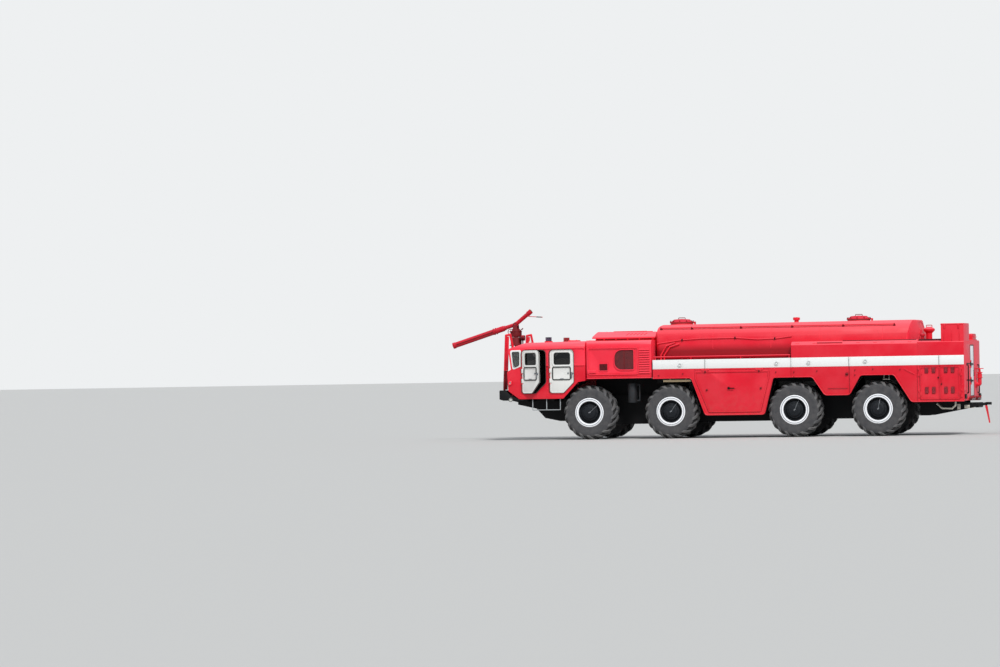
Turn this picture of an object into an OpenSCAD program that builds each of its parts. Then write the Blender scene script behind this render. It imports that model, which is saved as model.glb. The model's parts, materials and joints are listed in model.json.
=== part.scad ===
// Airport fire truck: an eight wheeled crash tender with two narrow cabs beside its engine.
// Millimetres. While it is drawn, the front is -X, the left side is -Y, z = 0 is the ground
// and x = 0 is midway between the second and third axles. placed() then moves the whole
// model so that the origin is under the middle of its box.

/* [Running gear] */
// Distance from axle 1 to axle 2, and from axle 3 to axle 4
close_wheelbase = 2200; // [2100:10:2350]
// Distance from axle 2 to axle 3
middle_wheelbase = 3300; // [3250:10:3500]
// Distance between the middles of a left and a right tyre
track = 2375; // [2340:5:2400]
// Radius to the tips of the tyre lugs, and height of the wheel centres
tyre_radius = 715; // [690:5:730]
// Width of a tyre across its sidewalls
tyre_width = 600; // [540:5:620]
// How far the lugs stand above the tyre's casing
lug_height = 26; // [15:1:35]
// Lugs in each of the two rows round a tyre
lug_count = 18; // [12:1:24]
// Outer radius of the white rim ring
ring_radius = 384; // [370:2:400]
// Inner radius of the white rim ring
ring_bore = 300; // [280:2:310]
// Radius of the spindle that a wheel turns on
spindle_radius = 60; // [45:1:70]
// Distance from a wheel's middle plane inwards to its kingpin
kingpin_offset = 140; // [120:5:160]
// Radius of a kingpin
kingpin_radius = 32; // [24:1:40]

/* [Chassis] */
// Distance between the outer faces of the two rails
frame_w = 900; // [800:10:960]
// Height of a rail
rail_h = 320; // [260:10:340]
// Height of the rails' lower edge above the ground
rail_z = 830; // [800:5:850]
// Foremost point of the rails
rail_front_x = -6050; // [-6080:5:-5950]
// Rearmost point of the rails
rail_rear_x = 6000; // [5850:5:6080]
// Thickness of the rails' steel
rail_wall = 14; // [8:1:20]

/* [Cabs] */
// Overall width across the cabs and the body
body_w = 3050; // [2980:10:3120]
// Width of the gap between the two cabs
cab_gap = 1000; // [960:10:1040]
// Thickness of a cab wall and of a cab door
cab_wall = 45; // [30:1:55]
// Height of the cab floor's underside
cab_floor_z = 1093; // [1080:1:1110]
// Height of the cab roof at the rear
cab_roof_z = 2609; // [2580:1:2640]
// Radius of the wheel house that is cut in the rear of a cab floor
wheel_house_r = 850; // [840:5:870]
// Angle by which the left front door stands open
front_door_open = 34; // [20:1:45]
// Width of a cab door
door_w = 661; // [640:1:670]
// Gap all round a cab door
door_gap = 7; // [6:0.5:9]
// Height of a cab door's top edge
door_top_z = 2385; // [2360:1:2400]
// Height of a cab door's bottom edge
door_bottom_z = 1247; // [1200:1:1260]

/* [Engine bay] */
// Height of the bay's side walls at their lower edge
bay_bottom_z = 1605; // [1590:1:1640]
// Height of the bay's roof
bay_roof_z = 2600; // [2560:5:2620]
// Top of the raised cover on the roof
hump_top_z = 2850; // [2800:5:2880]
// Width of the raised cover
hump_w = 1500; // [1400:10:1600]
// Thickness of the bay's sheet walls
bay_wall = 30; // [20:1:40]
// Number of louvres in each side
louvre_count = 11; // [7:1:13]

/* [Tank] */
// Width of the tank
tank_w = 2400; // [2300:10:2440]
// Height of the tank's top
tank_top_z = 3020; // [2980:5:3060]
// Height of the tank's underside
tank_bottom_z = 1880; // [1850:5:1950]
// Radius of the tank's four long edges
tank_edge_r = 480; // [400:5:520]
// Foremost point of the tank
tank_front_x = -2060; // [-2065:5:-2000]
// Rearmost point of the tank
tank_rear_x = 4860; // [4820:5:4900]

/* [Body] */
// Height of the white band's lower edge
band_bottom_z = 1830; // [1820:1:1850]
// Height of the white band's upper edge, and of the walkway
band_top_z = 2073; // [2060:1:2090]
// How far the white band stands proud of the side
band_proud = 6; // [3:1:10]
// Outer top edge of the rear cabinets
cabinet_top_z = 2400; // [2360:5:2430]
// Rear face of the body
body_rear_x = 6114; // [6090:1:6130]
// Thickness of the body's sheet walls
body_wall = 30; // [20:1:40]
// Depth of the side lockers
locker_depth = 560; // [480:5:580]
// Thickness of a locker door
locker_door_t = 32; // [24:1:40]
// Gap all round a locker door
locker_gap = 6; // [6:0.5:9]
// Height of the box on the rear left of the roof
top_box_h = 440; // [400:5:470]

/* [Water cannon] */
// Where the cannon's swivel axis stands
cannon_x = -6190; // [-6200:5:-6180]
// Height of the cannon's elevation axis
cannon_pivot_z = 3105; // [3090:5:3130]
// Length of the barrel from the elevation axis to the muzzle
barrel_l = 1840; // [1700:10:1860]
// Outer diameter of the barrel's thick part
barrel_d = 152; // [140:1:160]
// Angle by which the barrel points below the horizontal
barrel_droop = 17.5; // [15:0.5:20]
// Angle at which the tail rises from the horizontal
tail_rise = 39; // [35:1:42]
// Length of the tail from the elevation axis
tail_l = 555; // [500:5:590]

/* [Tow gear] */
// Rearmost point of the rear towing frame
tow_tip_x = 6540; // [6500:5:6560]
// Height of the towing eye
tow_z = 800; // [780:5:820]
// Radius of the bore in the towing eye
tow_eye_r = 38; // [30:1:45]

/* [Hidden] */
$fn = 48;

red = "#D4283A";
white = "#F1F2EE";
black = "#1C1D1F";
charcoal = "#4A4A4C";
glass_tint = "#2A3230";
steel = "#6B6E70";
eps = 0.01;
seat_gap = 0.3;

half_w = body_w / 2;
side_inner_y = -940;
axle_x = [-middle_wheelbase / 2 - close_wheelbase, -middle_wheelbase / 2,
          middle_wheelbase / 2, middle_wheelbase / 2 + close_wheelbase];
hub_z = tyre_radius;
wheel_y = track / 2;
kingpin_y = wheel_y - kingpin_offset;
barrel_tip = [cannon_x - barrel_l * cos(barrel_droop), cannon_pivot_z - barrel_l * sin(barrel_droop)];
muzzle_r = barrel_d / 2 + 8;
door_reach = (door_w - door_gap) * sin(front_door_open);
front_x = barrel_tip[0] - muzzle_r * sin(barrel_droop);
rear_x = tow_tip_x + tow_eye_r * 2;
origin_x = -(front_x + rear_x) / 2;
origin_y = door_reach / 2;

module placed() {
    translate([origin_x, origin_y, 0]) children();
}

module both_sides() {
    children();
    mirror([0, 1, 0]) children();
}

module on_side(side) {
    if (side < 0) children();
    else mirror([0, 1, 0]) children();
}

// An outline's table has the columns [x, y, corner radius]
function unit(v) = v / norm(v);
function arc_sweep(a, b) = let (d = b - a) d > 180 ? d - 360 : d < -180 ? d + 360 : d;
function corner(a, b, c, r) = r <= 0 ? [b] :
    let (u = unit(a - b), v = unit(c - b), half = acos(max(-1, min(1, u * v))) / 2,
         centre = b + unit(u + v) * r / sin(half),
         first = b + u * r / tan(half) - centre, last = b + v * r / tan(half) - centre,
         start = atan2(first[1], first[0]), sweep = arc_sweep(start, atan2(last[1], last[0])),
         steps = max(2, ceil(abs(sweep) / (r > 100 ? 9 : 22.5))))
    [for (i = [0:steps]) centre + r * [cos(start + sweep * i / steps), sin(start + sweep * i / steps)]];
function xy(row) = [row[0], row[1]];
function rounded(rows) = let (n = len(rows))
    [for (i = [0:n - 1]) each corner(xy(rows[(i + n - 1) % n]), xy(rows[i]), xy(rows[(i + 1) % n]), rows[i][2])];

// A plate that is drawn in x and z, between two values of y
module side_plate(y0, y1) {
    translate([0, y1, 0]) rotate([90, 0, 0]) linear_extrude(y1 - y0) children();
}

// A bar that is drawn in y and z, between two values of x
module cross_section(x0, x1) {
    translate([x0, 0, 0]) rotate([90, 0, 90]) linear_extrude(x1 - x0) children();
}

module block(x, y, z) {
    translate([x[0], y[0], z[0]]) cube([x[1] - x[0], y[1] - y[0], z[1] - z[0]]);
}

// A round bar between two points
module rod(a, b, r) {
    d = b - a;
    translate(a) rotate([0, acos(d[2] / norm(d)), atan2(d[1], d[0])]) cylinder(h = norm(d), r = r);
}

// A bent tube through a list of points, with a ball at each bend
module tube_run(points, r) {
    for (i = [0:len(points) - 2]) rod(points[i], points[i + 1], r);
    for (i = [1:len(points) - 2]) translate(points[i]) sphere(r = r * 1.03);
}

rail_y = frame_w / 2;
rail_flange = 90;
engine_x = [-5350, -3990];
engine_z = [1165, 1960];
engine_half_w = 330;
gearbox_rear_x = -1400;
gearbox_top_z = 1600;

module channel_rail() {
    side_plate(-rail_y, -rail_y + rail_wall)
        polygon([[rail_front_x, rail_z + rail_h * 0.35], [rail_front_x + 500, rail_z], [rail_rear_x, rail_z],
                 [rail_rear_x, rail_z + rail_h], [rail_front_x, rail_z + rail_h]]);
    block([rail_front_x + 500, rail_rear_x], [-rail_y, -rail_y + rail_flange], [rail_z, rail_z + rail_wall]);
    block([rail_front_x, rail_rear_x], [-rail_y, -rail_y + rail_flange],
          [rail_z + rail_h - rail_wall, rail_z + rail_h]);
}

module frame_rails() {
    cross_xs = [rail_front_x + 100, axle_x[0] + 450, axle_x[1] - 450, axle_x[1] + 900, axle_x[2] - 700,
                axle_x[2] + close_wheelbase / 2, axle_x[3] + 700, rail_rear_x - 80];
    cross_end = rail_y - rail_wall - seat_gap;
    color(black) {
        both_sides() channel_rail();
        for (x = cross_xs) rod([x, -cross_end, rail_z + rail_h / 2], [x, cross_end, rail_z + rail_h / 2], 70);
        // guard plates under the rails between the axles: columns [first x, last x, lower z]
        for (row = guard_rows) both_sides() block([row[0], row[1]], [-rail_y, -rail_y + rail_wall],
                                                  [row[2], rail_z - seat_gap]);
        // outriggers: columns [x, outer y, lower z, upper z]
        for (row = outriggers) both_sides()
            block([row[0], row[0] + 80], [row[1], -rail_y - seat_gap], [row[2], row[3]]);
    }
}
guard_end = 120;
guard_zs = [385, 425, 455];
guard_rows = [for (i = [0:2]) [axle_x[i] + guard_end, axle_x[i + 1] - guard_end, guard_zs[i]]];
outriggers = [[-5630, -1400, 1030, cab_floor_z - seat_gap], [-4900, -1400, 1030, cab_floor_z - seat_gap],
              [-600, side_inner_y + seat_gap, 1000, 1100], [600, side_inner_y + seat_gap, 1000, 1100]];

// The fixed arms of one wheel: rows are [height from the hub, half of the height]
arm_rows = [[205, 30], [-205, 30]];
arm_half_x = 52;
knuckle_half_h = 155;
kingpin_half_h = 234;
carrier_r = 88;

module arm_pair(x, steered) {
    for (row = arm_rows) {
        z = hub_z + row[0];
        side_plate(-kingpin_y, -rail_y - seat_gap)
            polygon([[x - arm_half_x, z - row[1]], [x + arm_half_x, z - row[1]],
                     [x + arm_half_x, z + row[1]], [x - arm_half_x, z + row[1]]]);
        translate([x, -kingpin_y, z - row[1]]) cylinder(h = 2 * row[1], r = 66);
    }
    // the stay that ties both arms to the rail
    block([x - arm_half_x, x + arm_half_x], [-rail_y - 60, -rail_y - seat_gap],
          [hub_z - 235, rail_z + rail_h * 0.5]);
    if (!steered) {
        translate([x, -kingpin_y, hub_z - 180]) cylinder(h = 360, r = carrier_r);
        rod([x, -kingpin_y, hub_z], [x, -kingpin_y - spindle_l, hub_z], spindle_radius);
    }
}

module differential(x) {
    rotate([0, 90, 0]) translate([-hub_z, 0, x - 230]) cylinder(h = 460, r = 205);
    rod([x, -kingpin_y + carrier_r + 20, hub_z], [x, kingpin_y - carrier_r - 20, hub_z], 48);
    rod([x, -rail_y + 10, hub_z], [x, rail_y - 10, hub_z], 105);
    block([x - 90, x + 90], [-100, 100], [hub_z, rail_z + rail_h * 0.6]);
}

module running_gear() {
    color(black) {
        for (i = [0:3]) {
            both_sides() difference() {
                arm_pair(axle_x[i], i < 2);
                if (i < 2) translate([axle_x[i], -kingpin_y, hub_z - 300])
                    cylinder(h = 600, r = kingpin_radius + seat_gap);
            }
            differential(axle_x[i]);
        }
        rod([axle_x[0], 0, hub_z], [axle_x[3], 0, hub_z], 55);
        side_plate(-300, 300) polygon(rounded([[-650, 520, 60], [60, 520, 60], [60, 1040, 40], [-650, 1040, 40]]));
    }
}

// The wheels' own frame has its middle at the wheel centre and the outer side at -y
spindle_l = kingpin_offset + 90;
tyre_half = tyre_width / 2;
lug_pitch = 360 / lug_count;
rim_flat = cos(lug_pitch / 2);
bead_r = (ring_radius - 62) / rim_flat;
bead_s = tyre_half * 0.86;
flank_r = tyre_radius * 0.74;
casing_r = tyre_radius - lug_height;
shoulder = [casing_r * 0.95, tyre_half * 0.92];
// the flats between two lug tips stand on the ground
lug_tip_r = tyre_radius / cos(lug_pitch / 4);
lug_end = [lug_tip_r - 16, tyre_half * 0.9];
lug_inner = 25;
// Where the tyre's outer face stands furthest out at that radius
function tyre_face(r) = bead_s + (tyre_half - bead_s) * (r / rim_flat - bead_r) / (flank_r - bead_r);

module at_wheel(axle, side) {
    on_side(side) translate([axle_x[axle], -wheel_y, hub_z]) rotate([90, 0, 0]) children();
}

// A tyre and a rim are drawn round z, with z pointing out of the vehicle.
// The tyre's points stand on rings: each whole ring has two points to a lug, at the lug's edges,
// and the flank and bead rings have one.
module tyre() {
    n = 2 * lug_count;
    // whole rings [radius, z], taken for the outer side and then for the inner side
    whole_rings = [[casing_r, lug_inner], shoulder, [lug_tip_r, lug_inner], lug_end];
    half_rings = [[flank_r, tyre_half], [bead_r, bead_s]];
    function ring_points(row, side, step) = [for (j = [0:step:n - 1]) let (a = (j - 0.5) * lug_pitch / 2)
        [row[0] * cos(a), row[0] * sin(a), side * row[1]]];
    function whole(ring, side, j) = (2 * ring + side) * n + j % n;
    function half(ring, side, i) = 8 * n + (2 * ring + side) * lug_count + i % lug_count;
    function facing(side, face) = side == 0 ? [for (k = [len(face) - 1:-1:0]) face[k]] : face;
    function ring_edge(ring, side, j) = [whole(ring, side, j), whole(ring, side, j + 1)];
    function lug(s, j) = let (c = ring_edge(0, s, j), e = ring_edge(1, s, j),
                              t = ring_edge(2, s, j), u = ring_edge(3, s, j))
        [[t[0], t[1], u[1], u[0]], [c[0], c[1], t[1], t[0]], [u[0], u[1], e[1], e[0]],
         [c[0], t[0], u[0], e[0]], [c[1], e[1], u[1], t[1]]];
    function groove(s, j) = let (c = ring_edge(0, s, j), e = ring_edge(1, s, j)) [c[0], c[1], e[1], e[0]];
    points = concat(
        [for (row = whole_rings) for (side = [1, -1]) each ring_points(row, side, 1)],
        [for (row = half_rings) for (side = [1, -1]) each ring_points(row, side, 2)]);
    tread = [for (s = [0, 1]) for (j = [0:n - 1]) each
        (j + s) % 2 == 0 ? [for (face = lug(s, j)) facing(s, face)] : [facing(s, groove(s, j))]];
    middle = [for (j = [0:n - 1]) let (a = ring_edge(0, 1, j), b = ring_edge(0, 0, j))
        facing(0, [a[0], a[1], b[1], b[0]])];
    walls = [for (s = [0, 1]) for (i = [0:lug_count - 1]) for (face = [
        [half(0, s, i), whole(1, s, 2 * i), whole(1, s, 2 * i + 1)],
        [half(0, s, i), whole(1, s, 2 * i + 1), half(0, s, i + 1)],
        [half(0, s, i + 1), whole(1, s, 2 * i + 1), whole(1, s, 2 * i + 2)],
        [half(1, s, i), half(0, s, i), half(0, s, i + 1), half(1, s, i + 1)]]) facing(s, face)];
    bore = [for (i = [0:lug_count - 1])
        facing(0, [half(1, 1, i), half(1, 0, i), half(1, 0, i + 1), half(1, 1, i + 1)])];
    color(charcoal) polyhedron(points, concat(tread, middle, walls, bore), convexity = 6);
}

module rim() {
    barrel_r = bead_r * rim_flat - seat_gap;
    barrel_in = ring_bore - 10;
    ring_back = tyre_face(ring_radius) + seat_gap;
    hub_face = ring_back + 16;
    bore_r = spindle_radius + seat_gap;
    bore_end = spindle_l - kingpin_offset + seat_gap;
    color(white) rotate_extrude($fn = 40) polygon([
        [0, bore_end], [bore_r, bore_end], [bore_r, 20], [130, 20], [barrel_in, 70],
        [barrel_in, -bead_s], [barrel_r, -bead_s], [barrel_r, tyre_face(barrel_r) + seat_gap],
        [ring_radius, ring_back], [ring_radius, ring_back + 14], [ring_bore, ring_back + 6],
        [ring_bore - 8, 150], [240, 140], [225, 225], [165, ring_back + 2], [60, hub_face], [0, hub_face]]);
}

module knuckle() {
    // the kingpin stands at the origin and the spindle points to -y
    color(black) {
        translate([0, 0, -knuckle_half_h]) cylinder(h = 2 * knuckle_half_h, r = carrier_r);
        translate([0, 0, -kingpin_half_h]) cylinder(h = 2 * kingpin_half_h, r = kingpin_radius);
        rotate([90, 0, 0]) cylinder(h = spindle_l, r = spindle_radius);
        rotate([90, 0, 0]) cylinder(h = kingpin_offset + 10, r = 110);
    }
}

module knuckle_at(axle, side) {
    on_side(side) translate([axle_x[axle], -kingpin_y, hub_z]) knuckle();
}

// The engine block with the oil sump below it
module engine_block() {
    color(black) {
        block(engine_x, [-engine_half_w, engine_half_w], engine_z);
        side_plate(-rail_y + rail_flange + 6, rail_y - rail_flange - 6)
            polygon([[-5736, 1010], [-5327, 573], [-4914, 487], [-4560, 485], [-4480, 700], [-4480, 1010]]);
        block([engine_x[0], -4480], [-engine_half_w, engine_half_w], [1000, engine_z[0] + 1]);
        // gearbox and transfer case behind the engine, on top of the rails' level
        block([engine_x[1] - 1, gearbox_rear_x], [-engine_half_w, engine_half_w],
              [rail_z + rail_h + seat_gap, gearbox_top_z]);
        // feet on the rails
        for (x = [engine_x[0] + 250, engine_x[1] - 250]) both_sides()
            block([x - 60, x + 60], [-rail_y + 15, -engine_half_w + 1], [rail_z + rail_h + seat_gap, engine_z[0] + 40]);
    }
    // radiator cores behind the round openings of the engine bay
    color(charcoal) both_sides()
        block([bay_hole_x[0] - 120, bay_hole_x[1] + 60], [-half_w + 190, -half_w + 330],
              [bay_hole_z[0] - 60, bay_roof_z - bay_wall - seat_gap]);
}

bumper_top_z = 1335;
bumper_front_x = -6288;

module front_bumper() {
    color(black) difference() {
        union() {
            both_sides() side_plate(-half_w, -cab_gap / 2)
                polygon(rounded([[bumper_front_x, 1092, 25], [bumper_front_x, bumper_top_z, 25],
                                 [-6085, bumper_top_z, 0], [-6085, 1300, 0], [-5990, 1200, 0],
                                 [-5738, 1082, 0], [-5800, 1055, 0], [-6180, 1060, 40]]));
            block([bumper_front_x, -6085], [-cab_gap / 2 - eps, cab_gap / 2 + eps], [1060, bumper_top_z]);
            // towing lugs under the middle of the bumper
            both_sides() side_plate(-rail_y + rail_wall + seat_gap, -rail_y + rail_wall + 50)
                polygon(rounded([[bumper_front_x - 80, 1105, 20], [bumper_front_x - 80, 1215, 30],
                                 [bumper_front_x + 20, 1260, 0], [rail_front_x - 10, 1130, 0],
                                 [rail_front_x + 28, 1130, 0], [rail_front_x + 28, 1000, 0],
                                 [bumper_front_x + 10, 1060, 20]]));
        }
        // lamp pockets, their bores and the towing eyes
        both_sides() translate([bumper_front_x - 1, -lamp_y, 1210]) rotate([0, 90, 0])
            cylinder(h = lamp_pocket + 1, r = lamp_r + 2);
        translate([bumper_front_x - 42, -rail_y, 1155]) rotate([-90, 0, 0])
            cylinder(h = frame_w, r = front_eye_r);
    }
}
lamp_r = 95;
lamp_y = half_w - 330;
lamp_pocket = 58;
front_eye_r = 24;
cab_roof_fall = 22;
function cab_roof_at(x) = cab_roof_z - cab_roof_fall * (cab_rear_x - x) / (cab_rear_x + 5564);

module lamps() {
    beacon_x = -5040;
    beacon_z = cab_roof_at(beacon_x + 108) + seat_gap;
    color(white) both_sides() {
        // headlights in the bumper
        translate([bumper_front_x - 12, -lamp_y, 1210]) rotate([0, 90, 0])
            cylinder(h = lamp_pocket + 12 - seat_gap, r = lamp_r);
        // round marker at the bumper's end
        translate([-5973, -half_w - seat_gap, 1085]) rotate([90, 0, 0]) cylinder(h = 18, r = 50);
        // turn lamp on the cab's side
        translate([-5985, -half_w - seat_gap, 1530]) rotate([90, 0, 0]) cylinder(h = 20, r = 42);
    }
    // two beacons on the roofs
    color("#2F5FA8") both_sides()
        translate([beacon_x, -half_w + 500, beacon_z + 30]) cylinder(h = 105, r = 82);
    color(red) both_sides()
        translate([beacon_x, -half_w + 500, beacon_z]) cylinder(h = 30, r = 108);
}

// A cab's side outline, drawn inwards by t: columns [x, z, corner radius]
cab_front_x = -6070;
cab_rear_x = -3940;
windscreen_top = [-6033, 2433];
windscreen_foot = [-5962, 1885];
function cab_outline(t) = [
    [cab_front_x + t, 1822 + t * 0.6, 0], [-6040 + t, 1316 + t * 0.4, 40],
    [-5740 + t * 0.4, cab_floor_z + t, 60], [-4545 - t * 0.4, cab_floor_z + t, 60],
    [-4136 - t * 0.8, 1527 + t, 20], [cab_rear_x - t, 1560 + t, 0],
    [cab_rear_x - t, cab_roof_z - t, 60], [-5564, cab_roof_z - cab_roof_fall - t, 120],
    [windscreen_top[0] + t, windscreen_top[1] - t * 0.8, 60],
    [windscreen_foot[0] + t, windscreen_foot[1] + t * 0.4, 0]];
function cab_section(t) = [
    [-half_w + t, cab_floor_z - 50, 0], [-cab_gap / 2 - t, cab_floor_z - 50, 0],
    [-cab_gap / 2 - t, cab_roof_z - t, 60], [-half_w + t, cab_roof_z - t, 200 - t]];

hinge_out = 14;
hinge_r = 13;
hinge_h = 110;
hinge_leaf = 40;
hinge_zs = [door_bottom_z + 330, 1840];
door_front_xs = [-5669, -4906];
door_chamfer = 282;
function door_outline(t) = [
    [t, door_bottom_z + t, 70], [door_w - door_chamfer - t * 0.4, door_bottom_z + t, 50],
    [door_w - t, door_bottom_z + door_chamfer + t * 0.4, 50],
    [door_w - t, door_top_z - t, 95], [t, door_top_z - t, 95]];
function window_outline(t) = [
    [116 + t, 1990 + t, 50], [door_w - 92 - t, 1990 + t, 50],
    [door_w - 92 - t, 2318 - t, 70], [116 + t, 2318 - t, 70]];
function lower_panel(t) = [
    [72 + t, 1585 + t, 55], [door_w - 80 - t, 1585 + t, 55],
    [door_w - 80 - t, 1945 - t, 55], [72 + t, 1945 - t, 55]];
function quarter_outline(t) = [
    [-5981 + t, 2394 - t, 50], [-5677 - t, 2400 - t, 40],
    [-5684 - t, 1962 + t * 0.7, 40], [-5917 + t, 1873 + t * 1.1, 40]];

module wheel_house(r, y0, y1) {
    side_plate(y0, y1) translate([axle_x[0], hub_z]) circle(r = r);
}

module cab_cavity() {
    intersection() {
        side_plate(-half_w + cab_wall, -cab_gap / 2 - cab_wall) difference() {
            polygon(rounded(cab_outline(cab_wall)));
            translate([axle_x[0], hub_z]) circle(r = wheel_house_r + cab_wall);
        }
        cross_section(cab_front_x - 50, cab_rear_x + 50) polygon(rounded(cab_section(cab_wall)));
    }
}

windscreen_z = [1965, 2365];
windscreen_margin = 80;
function windscreen_x(z) = windscreen_foot[0]
    + (z - windscreen_foot[1]) * (windscreen_top[0] - windscreen_foot[0]) / (windscreen_top[1] - windscreen_foot[1]);

// One hinge: the fixed knuckles stand above and below the knuckle of the door
module fixed_hinge(z) {
    for (z0 = [z - hinge_h / 2 - 45, z + hinge_h / 2 + seat_gap]) {
        translate([0, 0, z0]) cylinder(h = 45 - seat_gap, r = hinge_r);
        translate([-hinge_leaf, -6, z0]) cube([hinge_leaf, hinge_out + 8, 45 - seat_gap]);
    }
}

module moving_hinge(z) {
    translate([0, 0, z - hinge_h / 2]) cylinder(h = hinge_h, r = hinge_r);
    translate([0, -6, z - hinge_h / 2]) cube([60, hinge_out + 8, hinge_h]);
}

module at_door_hinge(i) {
    translate([door_front_xs[i] + door_gap, -half_w - hinge_out, 0]) children();
}

module cab_shell() {
    difference() {
        intersection() {
            side_plate(-half_w, -cab_gap / 2) polygon(rounded(cab_outline(0)));
            cross_section(cab_front_x - 50, cab_rear_x + 50) polygon(rounded(cab_section(0)));
        }
        cab_cavity();
        wheel_house(wheel_house_r, -half_w + cab_wall, -cab_gap / 2 + 1);
        for (x = door_front_xs) translate([x, 0, 0])
            side_plate(-half_w - 1, -half_w + cab_wall + 1) polygon(rounded(door_outline(0)));
        side_plate(-half_w - 1, -half_w + cab_wall + 1) polygon(rounded(quarter_outline(25)));
        block([cab_front_x - 20, windscreen_foot[0] + 90], [-half_w + windscreen_margin, -cab_gap / 2 - windscreen_margin],
              windscreen_z);
    }
    for (i = [0, 1]) at_door_hinge(i) for (z = hinge_zs) fixed_hinge(z);
}

module cab_left() {
    color(red) on_side(-1) cab_shell();
}

module cab_right() {
    color(red) on_side(1) cab_shell();
}

frame_strip = 46;
frame_proud = 10;

module window_frames() {
    color(white) both_sides() {
        side_plate(-half_w - frame_proud, -half_w - seat_gap) difference() {
            polygon(rounded(quarter_outline(0)));
            polygon(rounded(quarter_outline(frame_strip)));
        }
        // the windscreen's frame lies on the leaning front
        y0 = -half_w + windscreen_margin - 35;
        y1 = -cab_gap / 2 - windscreen_margin + 35;
        lean = atan2(windscreen_foot[0] - windscreen_top[0], windscreen_top[1] - windscreen_foot[1]);
        translate([windscreen_x(windscreen_z[0]) - seat_gap, 0, windscreen_z[0]]) rotate([0, -lean, 0])
            difference() {
                block([-frame_proud, 0], [y0, y1], [-35, (windscreen_z[1] - windscreen_z[0]) / cos(lean) + 35]);
                block([-frame_proud - 1, 1], [y0 + frame_strip, y1 - frame_strip],
                      [frame_strip - 35, (windscreen_z[1] - windscreen_z[0]) / cos(lean) + 35 - frame_strip]);
            }
    }
}

module cab_glass() {
    color(glass_tint) both_sides() {
        side_plate(-half_w + 14, -half_w + 22) polygon(rounded(quarter_outline(25 + seat_gap)));
        side_plate(-half_w + windscreen_margin + seat_gap, -cab_gap / 2 - windscreen_margin - seat_gap)
            polygon([[windscreen_x(windscreen_z[0]) + 14, windscreen_z[0] + seat_gap],
                     [windscreen_x(windscreen_z[0]) + 22, windscreen_z[0] + seat_gap],
                     [windscreen_x(windscreen_z[1]) + 22, windscreen_z[1] - seat_gap],
                     [windscreen_x(windscreen_z[1]) + 14, windscreen_z[1] - seat_gap]]);
    }
}

// Seats have the columns [front x, seat bottom z, cushion z]
seat_rows = [[-5080, cab_floor_z + cab_wall + seat_gap, 1540], [-4420, 1600, 1750]];
seat_l = 435;

module cab_interior() {
    y0 = -half_w + cab_wall + 190;
    y1 = -cab_gap / 2 - cab_wall - 190;
    color(charcoal) both_sides() {
        for (row = seat_rows) {
            block([row[0] + 60, row[0] + seat_l - 40], [y0 + 60, y1 - 60], [row[1], row[2] - 90]);
            side_plate(y0, y1) polygon(rounded([
                [row[0], row[2] - 90, 20], [row[0] + seat_l - seat_gap, row[2] - 90, 0],
                [row[0] + seat_l - seat_gap, row[2] + 560, 40], [row[0] + seat_l - 90, row[2] + 560, 40],
                [row[0] + seat_l - 120, row[2] + 40, 30], [row[0], row[2] + 40, 40]]));
        }
        block([-6000, -5760], [-half_w + cab_wall + seat_gap, -cab_gap / 2 - cab_wall - seat_gap], [1600, 1850]);
    }
    // steering wheel and its column in the left cab
    color(black) {
        y = -(half_w + cab_gap / 2) / 2;
        rod([-5790, y, 1740], [-5475, y, 1905], 24);
        translate([-5475, y, 1905]) rotate([0, -62, 0]) {
            rotate_extrude() translate([235, 0]) circle(r = 16);
            for (a = [0, 120, 240]) rotate([0, 0, a]) translate([0, -14, -8]) cube([235, 28, 16]);
        }
    }
}

bay_x = [-3895, -2145];
bay_hole_x = [-3135, -2620];
bay_hole_z = [1838, 2352];
cowl_top_z = 2060;
cowl_x = -5900;
louvre_x = [-2460, -2190];
louvre_z = [1715, 2385];

module bay_side_cuts() {
    recess = 10;
    // pressed panel, half round intake, small square grille
    side_plate(-half_w - 1, -half_w + recess) polygon(rounded([
        [-3825, 1725, 30], [-2510, 1725, 30], [-2510, 2400, 30], [-3825, 2400, 30]]));
    side_plate(-half_w - 1, -half_w + bay_wall + 1) polygon(rounded([
        [bay_hole_x[0], bay_hole_z[0], 190], [bay_hole_x[1], bay_hole_z[0], 30],
        [bay_hole_x[1], bay_hole_z[1], 30], [bay_hole_x[0], bay_hole_z[1], 190]]));
    side_plate(-half_w - 1, -half_w + bay_wall + 1)
        polygon(rounded([[-3545, 1820, 15], [-3328, 1820, 15], [-3328, 1992, 15], [-3545, 1992, 15]]));
    for (i = [0:louvre_count - 1]) {
        z = louvre_z[0] + (i + 0.5) * (louvre_z[1] - louvre_z[0]) / louvre_count;
        block(louvre_x, [-half_w - 1, -half_w + bay_wall + 1], [z - 14, z + 10]);
    }
}

module bay_louvres() {
    for (i = [0:louvre_count - 1]) {
        z = louvre_z[0] + (i + 0.5) * (louvre_z[1] - louvre_z[0]) / louvre_count;
        translate([louvre_x[0] - 5, -half_w + bay_wall - 4, z + 6]) rotate([-38, 0, 0])
            translate([0, -bay_wall - 8, 0]) cube([louvre_x[1] - louvre_x[0] + 10, bay_wall + 8, 5]);
    }
}

hump_slot_x = -2960;
hump_slot_pitch = 96;
hump_slope = 36;

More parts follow.
